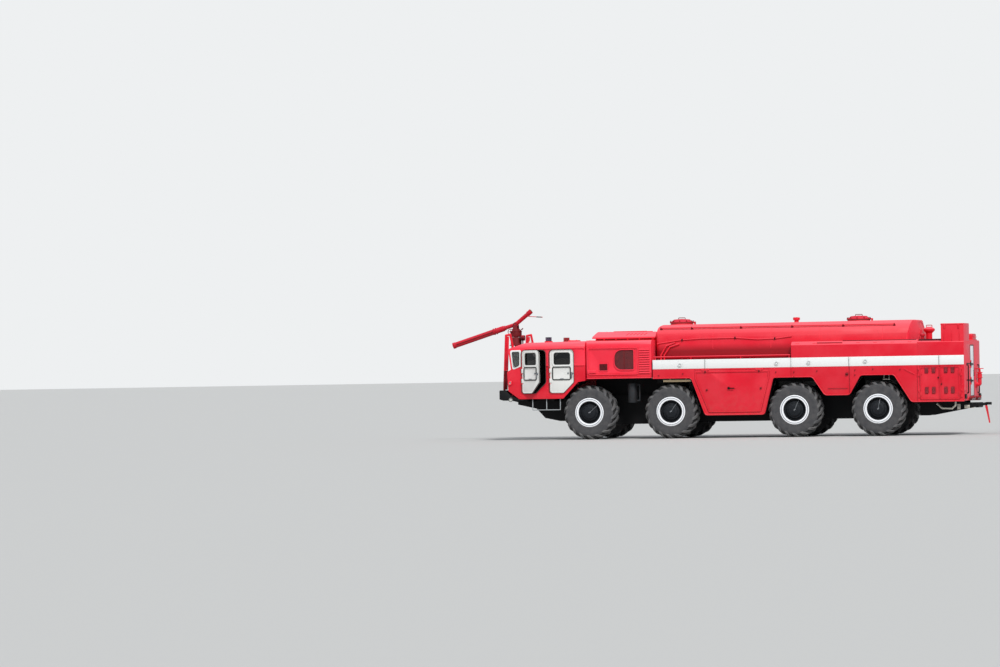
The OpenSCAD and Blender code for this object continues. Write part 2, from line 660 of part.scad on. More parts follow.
module roof_hump() {
    half = hump_w / 2;
    eave_z = bay_roof_z + 70;
    block([bay_x[0] + 60, bay_x[1] - 90], [-half + 70, half - 70], [bay_roof_z - 5, eave_z + 1]);
    intersection() {
        side_plate(-half, half) polygon(rounded([
            [bay_x[0] - 20, eave_z, 0], [bay_x[1] - 50, eave_z, 0], [bay_x[1] - 50, hump_top_z - 15, 40],
            [bay_x[0] + 85, hump_top_z, 50], [bay_x[0] - 10, eave_z + 60, 30]]));
        cross_section(bay_x[0] - 50, bay_x[1]) polygon(rounded([
            [-half, eave_z, 0], [half, eave_z, 0], [half, eave_z + 30, 15], [half - 230, hump_top_z, 60],
            [-half + 230, hump_top_z, 60], [-half, eave_z + 30, 15]]));
        // slanting slots in the sloping sides
        difference() {
            block([bay_x[0] - 50, bay_x[1]], [-half - 1, half + 1], [eave_z - 1, hump_top_z + 1]);
            both_sides() for (i = [0:5])
                translate([hump_slot_x + i * hump_slot_pitch, -half + 115, (eave_z + hump_top_z) / 2 + 10])
                    rotate([hump_slope - 90, 0, 0]) rotate([0, 38, 0]) cube([24, 24, 120], center = true);
        }
    }
}

module engine_bay() {
    w = bay_wall;
    cowl_y = cab_gap / 2 - 30;
    cowl_z = rail_z + rail_h + seat_gap;
    color(red) {
        difference() {
            cross_section(bay_x[0], bay_x[1]) polygon(rounded([
                [-half_w, bay_bottom_z, 0], [half_w, bay_bottom_z, 0],
                [half_w, bay_roof_z, 130], [-half_w, bay_roof_z, 130]]));
            cross_section(bay_x[0] + w, bay_x[1] - w) polygon(rounded([
                [-half_w + w, bay_bottom_z - 1, 0], [half_w - w, bay_bottom_z - 1, 0],
                [half_w - w, bay_roof_z - w, 100], [-half_w + w, bay_roof_z - w, 100]]));
            both_sides() bay_side_cuts();
            // the cowl over the engine opens into the bay
            block([bay_x[0] - 1, bay_x[0] + w + 1], [-cowl_y + w, cowl_y - w], [bay_bottom_z - 1, cowl_top_z - w]);
        }
        both_sides() bay_louvres();
        roof_hump();
        difference() {
            cross_section(cowl_x, bay_x[0] + 1) polygon(rounded([
                [-cowl_y, cowl_z, 0], [cowl_y, cowl_z, 0], [cowl_y, cowl_top_z, 60], [-cowl_y, cowl_top_z, 60]]));
            cross_section(cowl_x + w, bay_x[0] + 2) polygon(rounded([
                [-cowl_y + w, cowl_z - 1, 0], [cowl_y - w, cowl_z - 1, 0],
                [cowl_y - w, cowl_top_z - w, 40], [-cowl_y + w, cowl_top_z - w, 40]]));
            for (i = [-4:4]) block([cowl_x - 1, cowl_x + w + 1], [i * 88 - 26, i * 88 + 26], [1330, 1900]);
        }
    }
}

platform_z = 2545;
base_r = 150;
turret_z = 2760;
turret_gap = 5.5;
swivel_pin_r = 45;
hoop_y = 1150;
hoop_r = 30;
leg_xs = [bumper_front_x + 40, bumper_front_x + 165];
function roof_front_z(x) = windscreen_top[1] + (x - windscreen_top[0])
    * (cab_roof_z - cab_roof_fall - windscreen_top[1]) / (-5564 - windscreen_top[0]);

module monitor_frame() {
    color(red) {
        // hoops from the bumper over the front of each cab
        both_sides() tube_run([
            [-6244, -hoop_y, bumper_top_z + seat_gap], [-6244, -hoop_y, 1450], [-6178, -hoop_y, 2800],
            [-6060, -hoop_y, 2822], [-5990, -hoop_y, roof_front_z(-5990 + hoop_r) + seat_gap]], hoop_r);
        // pedestal on the middle of the bumper
        for (x = leg_xs) both_sides() rod([x, -190, bumper_top_z + seat_gap], [x, -190, platform_z - 10], 32);
        for (z = [1650, 2100]) both_sides() rod([leg_xs[0], -190, z], [leg_xs[1], -190, z + 120], 20);
        for (x = leg_xs) for (z = [1750, 2250]) rod([x, -190, z], [x, 190, z], 20);
        block([cannon_x - 120, cannon_x + 240], [-250, 250], [platform_z - 20, platform_z]);
        // fixed drum with the swivel's pin
        translate([cannon_x, 0, platform_z - 1]) cylinder(h = turret_z - platform_z - turret_gap + 1, r = base_r);
        translate([cannon_x, 0, platform_z]) cylinder(h = turret_z - platform_z + 120, r = swivel_pin_r);
        // water pipe from the cowl up to the drum
        tube_run([[cowl_x + 300, 0, cowl_top_z + seat_gap], [cowl_x + 300, 0, platform_z - 200],
                  [cannon_x + 100, 0, platform_z - 60]], 62);
        // searchlight's post
        rod([cannon_x + 215, -120, platform_z - 5], [cannon_x + 215, -120, platform_z + 130], 16);
        rotate([0, -90, 0]) translate([platform_z + 190, -120, -cannon_x - 270]) cylinder(h = 110, r = 72);
    }
}

trunnion_r = 22;
fork_y = 95;

module monitor_turret() {
    color(red) difference() {
        union() {
            translate([cannon_x, 0, turret_z]) cylinder(h = 165, r = base_r + 4);
            translate([cannon_x, 0, turret_z + 160]) cylinder(h = 60, r = 110);
            both_sides() side_plate(-fork_y - 22, -fork_y) polygon(rounded([
                [cannon_x - 70, turret_z + 150, 0], [cannon_x + 70, turret_z + 150, 0],
                [cannon_x + 46, cannon_pivot_z + 46, 44], [cannon_x - 46, cannon_pivot_z + 46, 44]]));
        }
        translate([cannon_x, 0, turret_z - 1]) cylinder(h = 121 + seat_gap, r = swivel_pin_r + seat_gap);
        translate([cannon_x, fork_y + 30, cannon_pivot_z]) rotate([90, 0, 0])
            cylinder(h = 2 * fork_y + 60, r = trunnion_r + seat_gap);
    }
}

module along_barrel() {
    translate([cannon_x, 0, cannon_pivot_z]) rotate([0, -90 - barrel_droop, 0]) children();
}

module monitor_barrel() {
    tail_end = [tail_l * cos(tail_rise), 0, tail_l * sin(tail_rise)];
    tail_r = 54;
    handle = [[330, 12, 262], [365, 60, 205], [720, 70, 180]];
    thick_from = 350;
    color(red) {
        // trunnion, thin neck, thick barrel with collars and muzzle
        translate([cannon_x, fork_y + 22, cannon_pivot_z]) rotate([90, 0, 0])
            cylinder(h = 2 * fork_y + 44, r = trunnion_r);
        along_barrel() rotate_extrude() polygon([
            [0, -20], [52, -20], [52, 290], [60, 300], [60, thick_from - 20], [barrel_d / 2, thick_from],
            [barrel_d / 2, 560], [barrel_d / 2 + 14, 560], [barrel_d / 2 + 14, 582], [barrel_d / 2 - 4, 582],
            [barrel_d / 2 - 4, 622], [barrel_d / 2 + 14, 622], [barrel_d / 2 + 14, 644], [barrel_d / 2, 644],
            [barrel_d / 2, barrel_l - 70], [muzzle_r, barrel_l - 60], [muzzle_r, barrel_l],
            [muzzle_r - 22, barrel_l], [muzzle_r - 28, barrel_l - 160], [0, barrel_l - 160]]);
        translate([cannon_x, 0, cannon_pivot_z]) {
            sphere(r = 66);
            rod([0, 0, 0], tail_end * 0.9, tail_r);
            rod(tail_end * 0.78, tail_end, tail_r + 12);
            // operator's level handle
            tube_run(concat([for (row = handle) [row[0], -row[1], row[2]]], [for (k = [2:-1:0]) handle[k]]), 9);
        }
    }
}

tank_fall = 20;
function tank_top_at(x) = tank_top_z - tank_fall * (tank_rear_x - 110 - x) / (tank_rear_x - 110 - tank_front_x);

module tank() {
    half = tank_w / 2;
    color(red) {
        intersection() {
            cross_section(tank_front_x - 50, tank_rear_x + 50) polygon(rounded([
                [-half, tank_bottom_z, 330], [half, tank_bottom_z, 330],
                [half, tank_top_z, tank_edge_r], [-half, tank_top_z, tank_edge_r]]));
            side_plate(-half, half) polygon(rounded([
                [tank_front_x - 30, tank_bottom_z, 60], [tank_rear_x, tank_bottom_z, 80],
                [tank_rear_x - 20, tank_top_z - 330, 80], [tank_rear_x - 110, tank_top_z, 50],
                [tank_front_x, tank_top_z - tank_fall, 150]]));
            translate([0, 0, tank_bottom_z - 1]) linear_extrude(tank_top_z - tank_bottom_z + 2)
                polygon(rounded([[tank_front_x - 30, -half, 140], [tank_rear_x, -half, 160],
                                 [tank_rear_x, half, 160], [tank_front_x - 30, half, 140]]));
        }
        // necks that carry the hatches
        for (x = hatch_xs) translate([x, 0, tank_top_z - 30]) cylinder(h = 30 + hatch_neck_h, r = hatch_r - 20);
        // cradles down to the rails
        for (x = [tank_front_x + 500, -200, 2750, tank_rear_x - 500]) both_sides()
            block([x - 60, x + 60], [-rail_y, -rail_y + rail_flange], [rail_z + rail_h + seat_gap, tank_bottom_z + 20]);
    }
    for (x = hatch_xs) color(red) hatch_hinge_fixed(x);
}

hatch_xs = [-1620, 3146];
hatch_r = 322;
hatch_neck_h = 42;
hatch_t = 26;
hatch_hinge_r = 14;
hatch_lid_z = tank_top_z + hatch_neck_h + seat_gap;

module hatch_hinge_fixed(x) {
    for (y = [-90, 60]) translate([x + hatch_r + 30, y, hatch_lid_z + hatch_t / 2]) rotate([-90, 0, 0])
        cylinder(h = 30, r = hatch_hinge_r);
    for (y = [-90, 60]) block([x + hatch_r + 18, x + hatch_r + 42], [y, y + 30],
                              [tank_top_z - 25, hatch_lid_z + hatch_t / 2]);
}

module hatch_lid(x) {
    color(red) {
        translate([x, 0, hatch_lid_z]) cylinder(h = hatch_t, r = hatch_r);
        translate([x, 0, hatch_lid_z + hatch_t - 1]) rotate_extrude()
            polygon([[0, 0], [hatch_r - 40, 0], [hatch_r - 110, 62], [0, 78]]);
        translate([x + hatch_r + 30, -60 + seat_gap, hatch_lid_z + hatch_t / 2]) rotate([-90, 0, 0])
            cylinder(h = 120 - 2 * seat_gap, r = hatch_hinge_r);
        block([x + hatch_r - 30, x + hatch_r + 30], [-60 + seat_gap, 60 - seat_gap],
              [hatch_lid_z, hatch_lid_z + hatch_t]);
    }
}

module hatch_front() {
    hatch_lid(hatch_xs[0]);
}

module hatch_rear() {
    hatch_lid(hatch_xs[1]);
}

rail_tube_r = 16;
tank_rail_angle = 45;
bracket_xs = [-1960, -1130, 187, 1551, 2905, 4252];

module handrails() {
    rail_reach = tank_edge_r + 50;
    color(red) both_sides() {
        // long rail on the tank's shoulder
        translate([0, -tank_w / 2 + tank_edge_r, tank_top_z - tank_edge_r]) rotate([-tank_rail_angle, 0, 0]) {
            rod([bracket_xs[0] - 20, -rail_reach, 0], [bracket_xs[5] + 20, -rail_reach, 0], rail_tube_r);
            for (x = bracket_xs) rod([x, -rail_reach, 0], [x, -tank_edge_r - seat_gap, 0], 12);
        }
        // low rail along the walkway
        rod([-2068, -half_w + 40, 2150], [1560, -half_w + 40, 2150], rail_tube_r);
        for (x = [-2040, -1085, 245, 1530])
            rod([x, -half_w + 40, 2150], [x, -half_w + 40, band_top_z + seat_gap], 12);
    }
}

module tank_pipes() {
    hose_r = 14;
    pipe_r = 22;
    hose_y = tank_w / 2 + hose_r + seat_gap;
    pipe_y = tank_w / 2 + pipe_r + seat_gap;
    hose = [[-2040, -hose_y, 2500], [-1400, -hose_y, 2590], [-850, -hose_y, 2620], [50, -hose_y, 2625],
            [650, -hose_y, 2575], [1150, -hose_y, 2590], [1560, -hose_y, 2640]];
    color(red) {
        // hose clipped along the tank's left side
        tube_run(hose, hose_r);
        // two curved pipes at the tank's front left corner
        for (i = [0, 1]) tube_run([
            [-1560 + i * 120, -pipe_y, 2520 - i * 30], [-1800 + i * 100, -pipe_y - 10, 2440 - i * 30],
            [-1940 + i * 90, -pipe_y - 20, 2200], [-1940 + i * 90, -pipe_y - 20, band_top_z + seat_gap]], pipe_r);
        // vent valve on top of the tank
        translate([1478, 0, tank_top_at(1478 + 60) + seat_gap]) {
            cylinder(h = 72, r = 60);
            translate([0, 0, 70]) cylinder(h = 60, r = 92);
        }
        // filler stack behind the tank
        translate([5004, 0, pump_roof_z + seat_gap]) cylinder(h = 210, r = 80);
        translate([5004, 0, 2665]) rotate_extrude() polygon([[0, 0], [80, 0], [150, 70], [150, 110], [60, 170], [0, 170]]);
    }
}

// Side body: outline of its lower edge, columns [x, z, corner radius], from the axles
body_front_x = -2110;
body_split_x = axle_x[2] - 60;
skirt_mid = [[axle_x[1] + 575, 1588, 70], [axle_x[1] + 938, 609, 25],
             [axle_x[2] - 789, 609, 25], [axle_x[2] - 545, 1570, 70]];
skirt_low = [[axle_x[2] + 495, 1570, 70], [axle_x[2] + 819, 1088, 25],
             [axle_x[3] - 736, 1088, 25], [axle_x[3] - 440, 1598, 70]];
body_bottom_z = 884;
skirt_rear = [[axle_x[3] + 436, 1598, 70], [axle_x[3] + 883, body_bottom_z, 25],
              [body_rear_x, body_bottom_z, 20]];
coupling_ys = [-760, -400, 400, 760];
tank_side_y = -tank_w / 2 - 15;
ledge_z = tank_bottom_z - 20;
pump_roof_z = cabinet_top_z + 60;

mid_top = [skirt_mid[0][0] + 90, skirt_mid[3][0] - 105];
mid_foot = [skirt_mid[1][0] + 87, skirt_mid[2][0] - 89];
mid_top_z = 1790;
function mid_opening(t) = [
    [mid_foot[0] + t, 670 + t, 25], [mid_foot[1] - t, 670 + t, 25], [mid_top[1] - t, 1570, 40],
    [mid_top[1] - t, mid_top_z - t, 15], [mid_top[0] + t, mid_top_z - t, 15], [mid_top[0] + t, 1570, 40]];
rear_leaf_x = [4950, 5485, 6030];
rear_leaf_z = [935, 1790];
function leaf_outline(i, t) = [
    [rear_leaf_x[i] + t, rear_leaf_z[0] + t, 20], [rear_leaf_x[i + 1] - t, rear_leaf_z[0] + t, 20],
    [rear_leaf_x[i + 1] - t, rear_leaf_z[1] - t, 20], [rear_leaf_x[i] + t, rear_leaf_z[1] - t, 20]];
rear_door_y = [-310, 310];
rear_door_z = [1010, 2320];

module body_front() {
    w = body_wall;
    x1 = body_split_x - seat_gap;
    color(red) {
        both_sides() {
            difference() {
                intersection() {
                    side_plate(-half_w, 0) polygon(rounded(concat(
                        [[x1, band_top_z, 0], [body_front_x, band_top_z, 0], [body_front_x, skirt_mid[0][1], 0]],
                        skirt_mid, [[x1, 1570, 0]])));
                    cross_section(body_front_x, x1) polygon([
                        [-half_w, 500], [-half_w, band_top_z], [tank_side_y, band_top_z],
                        [tank_side_y, ledge_z], [side_inner_y, ledge_z], [side_inner_y, 500]]);
                }
                // locker behind the middle door
                side_plate(-half_w - 1, -half_w + w + 1) polygon(rounded(mid_opening(0)));
                side_plate(-half_w + w, side_inner_y - w) polygon(rounded([
                    [mid_foot[0] - 30, 640, 15], [mid_foot[1] + 28, 640, 15],
                    [mid_top[1] + 40, 1570, 30], [mid_top[1] + 40, mid_top_z + 20, 15],
                    [mid_top[0] - 35, mid_top_z + 20, 15], [mid_top[0] - 35, 1570, 30]]));
            }
            // mudguards over the second and third wheels, inwards to the frame
            block([body_front_x, skirt_mid[0][0] - 10], [side_inner_y - 1, -rail_y - 2], [1600, 1615]);
            inner_wing(body_front_x, skirt_mid[0][0] - 10);
            inner_wing(skirt_mid[3][0] + 10, x1);
            at_mid_locker() for (x = mid_hinge_xs) fixed_hinge(x);
        }
        for (x = [body_front_x + 20, bearer_xs[0], bearer_xs[1]]) body_bearer(x);
    }
}

// A plate down behind the top of a tyre, on the inner face of the side
module inner_wing(x0, x1) {
    block([x0, x1], [side_inner_y - 1, side_inner_y + 14], [2 * tyre_radius + 25, 1640]);
}

bearer_xs = [skirt_mid[0][0] + 435, skirt_mid[3][0] - 405];

// A bearer between the sides, on two stools that stand on the rails
module body_bearer(x) {
    block([x, x + 80], [side_inner_y - 1, -side_inner_y + 1], [1640, 1780]);
    both_sides() block([x, x + 80], [-rail_y, -rail_y + rail_flange], [rail_z + rail_h + seat_gap, 1641]);
}

bay_rear_x = tank_rear_x + 45;
roof_slope = [130, 85];

module body_rear() {
    w = body_wall;
    slope_top_z = cabinet_top_z + roof_slope[1];
    rows = concat([[body_split_x + seat_gap, 1570, 0]], skirt_low, skirt_rear);
    outline = concat([[body_rear_x, 2700, 0], [body_split_x + seat_gap, 2700, 0]], rows);
    color(red) {
        // cabinets beside the tank
        both_sides() intersection() {
            side_plate(-half_w, 0) polygon(rounded(outline));
            cross_section(body_split_x, bay_rear_x - seat_gap) polygon(rounded([
                [-half_w, 500, 0], [-half_w, cabinet_top_z, 25], [-half_w + roof_slope[0], slope_top_z, 40],
                [tank_side_y, slope_top_z + 12, 0], [tank_side_y, ledge_z, 0],
                [side_inner_y, ledge_z, 0], [side_inner_y, 500, 0]]));
        }
        both_sides() {
            inner_wing(body_split_x + seat_gap, skirt_low[0][0] - 10);
            inner_wing(skirt_low[3][0] + 10, skirt_rear[0][0] - 10);
        }
        body_bearer(axle_x[2] + 850);
        // full width pump room behind the tank
        difference() {
            intersection() {
                side_plate(-half_w, half_w) polygon(rounded(outline));
                cross_section(bay_rear_x, body_rear_x + 1) polygon(rounded([
                    [-half_w, 500, 0], [-half_w, cabinet_top_z + 30, 25],
                    [-half_w + roof_slope[0], pump_roof_z, 20], [half_w - roof_slope[0], pump_roof_z, 20],
                    [half_w, cabinet_top_z + 30, 25], [half_w, 500, 0]]));
            }
            block([bay_rear_x + w, body_rear_x - w], [-half_w + w + locker_depth + w, half_w - w - locker_depth - w],
                  [rear_door_z[0] - 25, rear_door_z[1] + 30]);
            block([body_rear_x - w - 2, body_rear_x + 1], rear_door_y, rear_door_z);
            // the rails run in under the room
            block([bay_rear_x - 1, rail_rear_x + 8], [-rail_y - 6, rail_y + 6], [500, rail_z + rail_h + 6]);
            both_sides() {
                block([bay_rear_x + w, body_rear_x - w], [-half_w + w + 2, -half_w + w + locker_depth],
                      [rear_leaf_z[0] - 20, rear_leaf_z[1] + 20]);
                side_plate(-half_w - 1, -half_w + w + 3) polygon(rounded([
                    [rear_leaf_x[0], rear_leaf_z[0], 20], [rear_leaf_x[2], rear_leaf_z[0], 20],
                    [rear_leaf_x[2], rear_leaf_z[1], 20], [rear_leaf_x[0], rear_leaf_z[1], 20]]));
            }
        }
        both_sides() for (i = [0, 1]) at_leaf_hinge(i) for (z = leaf_hinge_zs) fixed_hinge(z);
        at_rear_door() for (z = rear_hinge_zs) fixed_hinge(z);
        // capped hose couplings under the rear door
        for (y = coupling_ys) translate([body_rear_x - 1, y, body_bottom_z + 60]) rotate([0, 90, 0]) {
            cylinder(h = 95, r = 44);
            translate([0, 0, 40]) cylinder(h = 22, r = 55);
            translate([0, 0, 80]) cylinder(h = 46, r = 54);
        }
        for (x = [bay_rear_x + w - 1, rail_rear_x - 90]) both_sides()
            block([x, x + 80], [-half_w + w + locker_depth + 1, -rail_y + rail_flange],
                  [rail_z + rail_h + seat_gap, rail_z + rail_h + 60]);
        // box on the left of the roof
        block([5525, body_rear_x], [-half_w + 15, -475], [cabinet_top_z + 20, cabinet_top_z + 57 + top_box_h]);
    }
}

mid_hinge_xs = [mid_top[0] + 285, mid_top[1] - 260];
leaf_hinge_zs = [rear_leaf_z[0] + 150, rear_leaf_z[1] - 150];
rear_hinge_zs = [1400, 1835];

module at_mid_locker() {
    translate([0, -half_w - hinge_out, mid_top_z - locker_gap]) rotate([0, 90, 0]) children();
}

module at_leaf_hinge(i) {
    if (i == 0) translate([rear_leaf_x[0] + locker_gap, -half_w - hinge_out, 0]) children();
    else translate([rear_leaf_x[2] - locker_gap, -half_w - hinge_out, 0]) mirror([1, 0, 0]) children();
}

module at_rear_door() {
    translate([body_rear_x + hinge_out, rear_door_y[0] + locker_gap, 0]) rotate([0, 0, 90]) children();
}

module handle_bar(p, along) {
    // a pull handle on two feet
    translate(p) {
        translate(along > 0 ? [-70, -26, -8] : [-8, -26, -70]) cube(along > 0 ? [140, 12, 16] : [16, 12, 140]);
        for (s = [-1, 1]) translate(along > 0 ? [s * 58 - 8, -26, -8] : [-8, -26, s * 58 - 8]) cube([16, 30, 16]);
    }
}

module locker_mid() {
    color(red) {
        side_plate(-half_w, -half_w + locker_door_t) polygon(rounded(mid_opening(locker_gap)));
        at_mid_locker() for (x = mid_hinge_xs) moving_hinge(x);
        handle_bar([(mid_foot[0] + mid_foot[1]) / 2 - 40, -half_w, 1306], 1);
    }
}

// Middles of the vents in the two leaves
vent_xs = [[5142, 5325], [5642, 5820]];

module locker_leaf(i) {
    color(red) {
        difference() {
            side_plate(-half_w, -half_w + locker_door_t) polygon(rounded(leaf_outline(i, locker_gap)));
            for (x = vent_xs[i]) for (z = [1100, 1630]) for (k = [0:4])
                block([x - 42, x + 42], [-half_w - 1, -half_w + 8], [z + k * 30, z + k * 30 + 14]);
        }
        at_leaf_hinge(i) for (z = leaf_hinge_zs) moving_hinge(z);
        if (i == 1) handle_bar([rear_leaf_x[1] + 45, -half_w, 1460], 0);
    }
}

module rear_door() {
    color(white) {
        block([body_rear_x - locker_door_t, body_rear_x], [rear_door_y[0] + locker_gap, rear_door_y[1] - locker_gap],
              [rear_door_z[0] + locker_gap, rear_door_z[1] - locker_gap]);
        at_rear_door() for (z = rear_hinge_zs) {
            moving_hinge(z);
            translate([0, -4, z - 22]) cube([430, hinge_out + 6, 44]);
        }
        translate([body_rear_x, 0, 0]) rotate([0, 0, 90]) handle_bar([rear_door_y[1] - 80, 0, 1600], 0);
    }
}

module side_bands() {
    color(white) both_sides()
        block([body_front_x + 2, body_rear_x - 2], [-half_w - band_proud, -half_w - seat_gap], [band_bottom_z, band_top_z]);
}

step_xs = [-5399, -5018, -4645];
board_x = [-1852, -1113];

module underbody_fittings() {
    drum_x = -2733;
    step_y = -half_w + 85;
    color(steel) both_sides() {
        // upright drum between the first two axles, on its bracket
        translate([drum_x, -1180, 960]) cylinder(h = 506, r = 128);
        rod([drum_x, -1100, 1040], [drum_x, -rail_y - seat_gap, 1040], 30);
        rod([drum_x + 190, -1180, 1000], [drum_x + 190, -1180, 1440], 22);
        rod([drum_x, -1180, 1010], [drum_x + 190, -1180, 1010], 22);
        rod([drum_x, -1180, 1430], [drum_x + 190, -1180, 1430], 22);
        // step under the cab
        rod([step_xs[0], step_y, 800], [step_xs[2], step_y, 800], 12);
        for (x = step_xs) rod([x, step_y, 795], [x, step_y, cab_floor_z - seat_gap], 12);
    }
    color("#CDBFA6") {
        // board stowed over the second wheel on two hangers
        block(board_x, [-1420, -1130], [1490, 1545]);
        for (x = [board_x[0] + 150, board_x[1] - 150])
            block([x, x + 40], [-1380, -1340], [1540, skirt_mid[0][1] - seat_gap]);
    }
    color(steel) tube_run([[5300, -880, 820], [5440, -900, 700], [5700, -900, 690], [5790, -900, 770],
                           [5790, -900, 884 - seat_gap]], 26);
}

tow_plate_y = -rail_y + rail_wall;
module tow_gear() {
    top_z = rail_z - seat_gap;
    color(black) difference() {
        union() {
            both_sides() side_plate(-rail_y, tow_plate_y)
                polygon([[4795, top_z], [4795, 509], [5050, 509], [6330, 740], [6330, top_z]]);
            for (x = [4900, 5700, 6250]) block([x, x + 80], [tow_plate_y - 1, -tow_plate_y + 1], [700, 780]);
            both_sides() rod([6290, tow_plate_y + 20, tow_z - 35], [tow_tip_x - 50, -30, tow_z], 34);
            translate([tow_tip_x, 0, tow_z - 35]) cylinder(h = 70, r = tow_eye_r * 2);
            // lug that the leg hangs from
            block([6460, 6510], [leg_y, leg_y + 30], [700, 790]);
        }
        translate([tow_tip_x, 0, tow_z - 80]) cylinder(h = 160, r = tow_eye_r);
    }
}

leg_y = -120;
module tow_leg() {
    color(red) side_plate(leg_y - 30, leg_y - seat_gap)
        polygon(rounded([[6455, 755, 10], [6520, 745, 10], [6590, 300, 8], [6556, 290, 8], [6500, 560, 0]]));
}

module cab_door() {
    t = door_gap;
    color(white) translate([-door_gap, 0, 0]) {
        difference() {
            side_plate(hinge_out, hinge_out + cab_wall) polygon(rounded(door_outline(t)));
            side_plate(hinge_out - 1, hinge_out + cab_wall + 1) polygon(rounded(window_outline(0)));
            side_plate(hinge_out - 1, hinge_out + 8) polygon(rounded(lower_panel(18)));
        }
        side_plate(hinge_out - 8, hinge_out + 1) difference() {
            polygon(rounded(lower_panel(0)));
            polygon(rounded(lower_panel(20)));
        }
    }
    color(white) for (z = hinge_zs) moving_hinge(z);
    color(glass_tint) translate([-door_gap, 0, 0])
        side_plate(hinge_out + 16, hinge_out + 24) polygon(rounded(window_outline(seat_gap)));
}

module door_front_left() {
    at_door_hinge(0) rotate([0, 0, -front_door_open]) cab_door();
}

module door_rear_left() {
    at_door_hinge(1) cab_door();
}

module door_front_right() {
    mirror([0, 1, 0]) at_door_hinge(0) cab_door();
}

module door_rear_right() {
    mirror([0, 1, 0]) at_door_hinge(1) cab_door();
}

placed() {
    frame_rails();
    running_gear();
    engine_block();
    front_bumper();
    lamps();
    cab_left();
    cab_right();
    window_frames();
    cab_glass();
    cab_interior();
    engine_bay();
    monitor_frame();
    tank();
    handrails();
    tank_pipes();
    body_front();
    body_rear();
    side_bands();
    underbody_fittings();
    tow_gear();
    tow_leg();
    door_front_left();
    door_rear_left();
    door_front_right();
    door_rear_right();
    monitor_turret();
    monitor_barrel();
    hatch_front();
    hatch_rear();
    on_side(-1) locker_mid();  // locker_mid_left
    on_side(1) locker_mid();  // locker_mid_right
    on_side(-1) locker_leaf(0);  // locker_rear_left_a
    on_side(-1) locker_leaf(1);  // locker_rear_left_b
    on_side(1) locker_leaf(0);  // locker_rear_right_a
    on_side(1) locker_leaf(1);  // locker_rear_right_b
    rear_door();
    knuckle_at(0, -1);  // knuckle_1_left
    knuckle_at(0, 1);  // knuckle_1_right
    knuckle_at(1, -1);  // knuckle_2_left
    knuckle_at(1, 1);  // knuckle_2_right
    at_wheel(0, -1) tyre();  // tyre_1_left
    at_wheel(0, 1) tyre();  // tyre_1_right
    at_wheel(1, -1) tyre();  // tyre_2_left
    at_wheel(1, 1) tyre();  // tyre_2_right
    at_wheel(2, -1) tyre();  // tyre_3_left
    at_wheel(2, 1) tyre();  // tyre_3_right
    at_wheel(3, -1) tyre();  // tyre_4_left
    at_wheel(3, 1) tyre();  // tyre_4_right
    at_wheel(0, -1) rim();  // rim_1_left
    at_wheel(0, 1) rim();  // rim_1_right
    at_wheel(1, -1) rim();  // rim_2_left
    at_wheel(1, 1) rim();  // rim_2_right
    at_wheel(2, -1) rim();  // rim_3_left
    at_wheel(2, 1) rim();  // rim_3_right
    at_wheel(3, -1) rim();  // rim_4_left
    at_wheel(3, 1) rim();  // rim_4_right
}
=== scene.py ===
"""Looks of an airport fire truck with eight wheels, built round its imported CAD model.

Pieces are drawn in metres in the truck's own frame: the front is -X, the left side is -Y, z is 0 on the
ground, and x is 0 midway between the second and third axles. Finishing a piece moves it into the row's frame.
"""

import json
import math

import bmesh
import bpy
from mathutils import Matrix, Vector


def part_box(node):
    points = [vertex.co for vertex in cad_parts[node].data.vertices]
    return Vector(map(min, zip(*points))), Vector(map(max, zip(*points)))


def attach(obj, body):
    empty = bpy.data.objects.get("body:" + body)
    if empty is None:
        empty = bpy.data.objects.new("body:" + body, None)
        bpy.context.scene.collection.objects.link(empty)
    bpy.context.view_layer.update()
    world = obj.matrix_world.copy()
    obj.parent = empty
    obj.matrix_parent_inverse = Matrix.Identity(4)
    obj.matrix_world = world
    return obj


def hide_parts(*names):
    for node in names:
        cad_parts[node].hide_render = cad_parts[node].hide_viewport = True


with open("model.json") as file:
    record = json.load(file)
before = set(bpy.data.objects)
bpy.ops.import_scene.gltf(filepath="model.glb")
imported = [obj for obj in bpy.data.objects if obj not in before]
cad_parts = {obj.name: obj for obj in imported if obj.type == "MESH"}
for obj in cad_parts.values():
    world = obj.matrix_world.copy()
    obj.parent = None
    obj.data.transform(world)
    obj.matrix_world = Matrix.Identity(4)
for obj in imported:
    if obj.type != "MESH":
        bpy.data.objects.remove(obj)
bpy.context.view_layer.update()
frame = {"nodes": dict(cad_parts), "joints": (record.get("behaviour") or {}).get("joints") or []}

# Places taken from the frame
HUBS = {j["child"]: Vector(j["pos_m"]) for j in frame["joints"] if j["name"].startswith("roll_")}
TRUCK = Vector((
    (HUBS["wheel_2_left"].x + HUBS["wheel_3_left"].x) / 2,
    (HUBS["wheel_1_left"].y + HUBS["wheel_1_right"].y) / 2,
    0,
))
HUB_Z = HUBS["wheel_1_left"].z
AXLES = [HUBS[f"wheel_{i}_left"].x - TRUCK.x for i in (1, 2, 3, 4)]


def span(node):
    """Lowest and highest corner of a CAD node in the truck's own frame."""
    lo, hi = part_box(node)
    return Vector(lo) - TRUCK, Vector(hi) - TRUCK


CHASSIS = "chassis"
SIDE_Y = span("body_front")[1].y
BAND_Z = span("side_bands")[0].z, span("side_bands")[1].z
REAR_X = span("side_bands")[1].x + 0.002


# Colours and materials


def rgb(code):
    """An sRGB hex colour as linear red, green, blue and alpha."""
    parts = [int(code[i:i + 2], 16) / 255 for i in (1, 3, 5)]
    return tuple(c / 12.92 if c <= 0.04045 else ((c + 0.055) / 1.055) ** 2.4 for c in parts) + (1,)


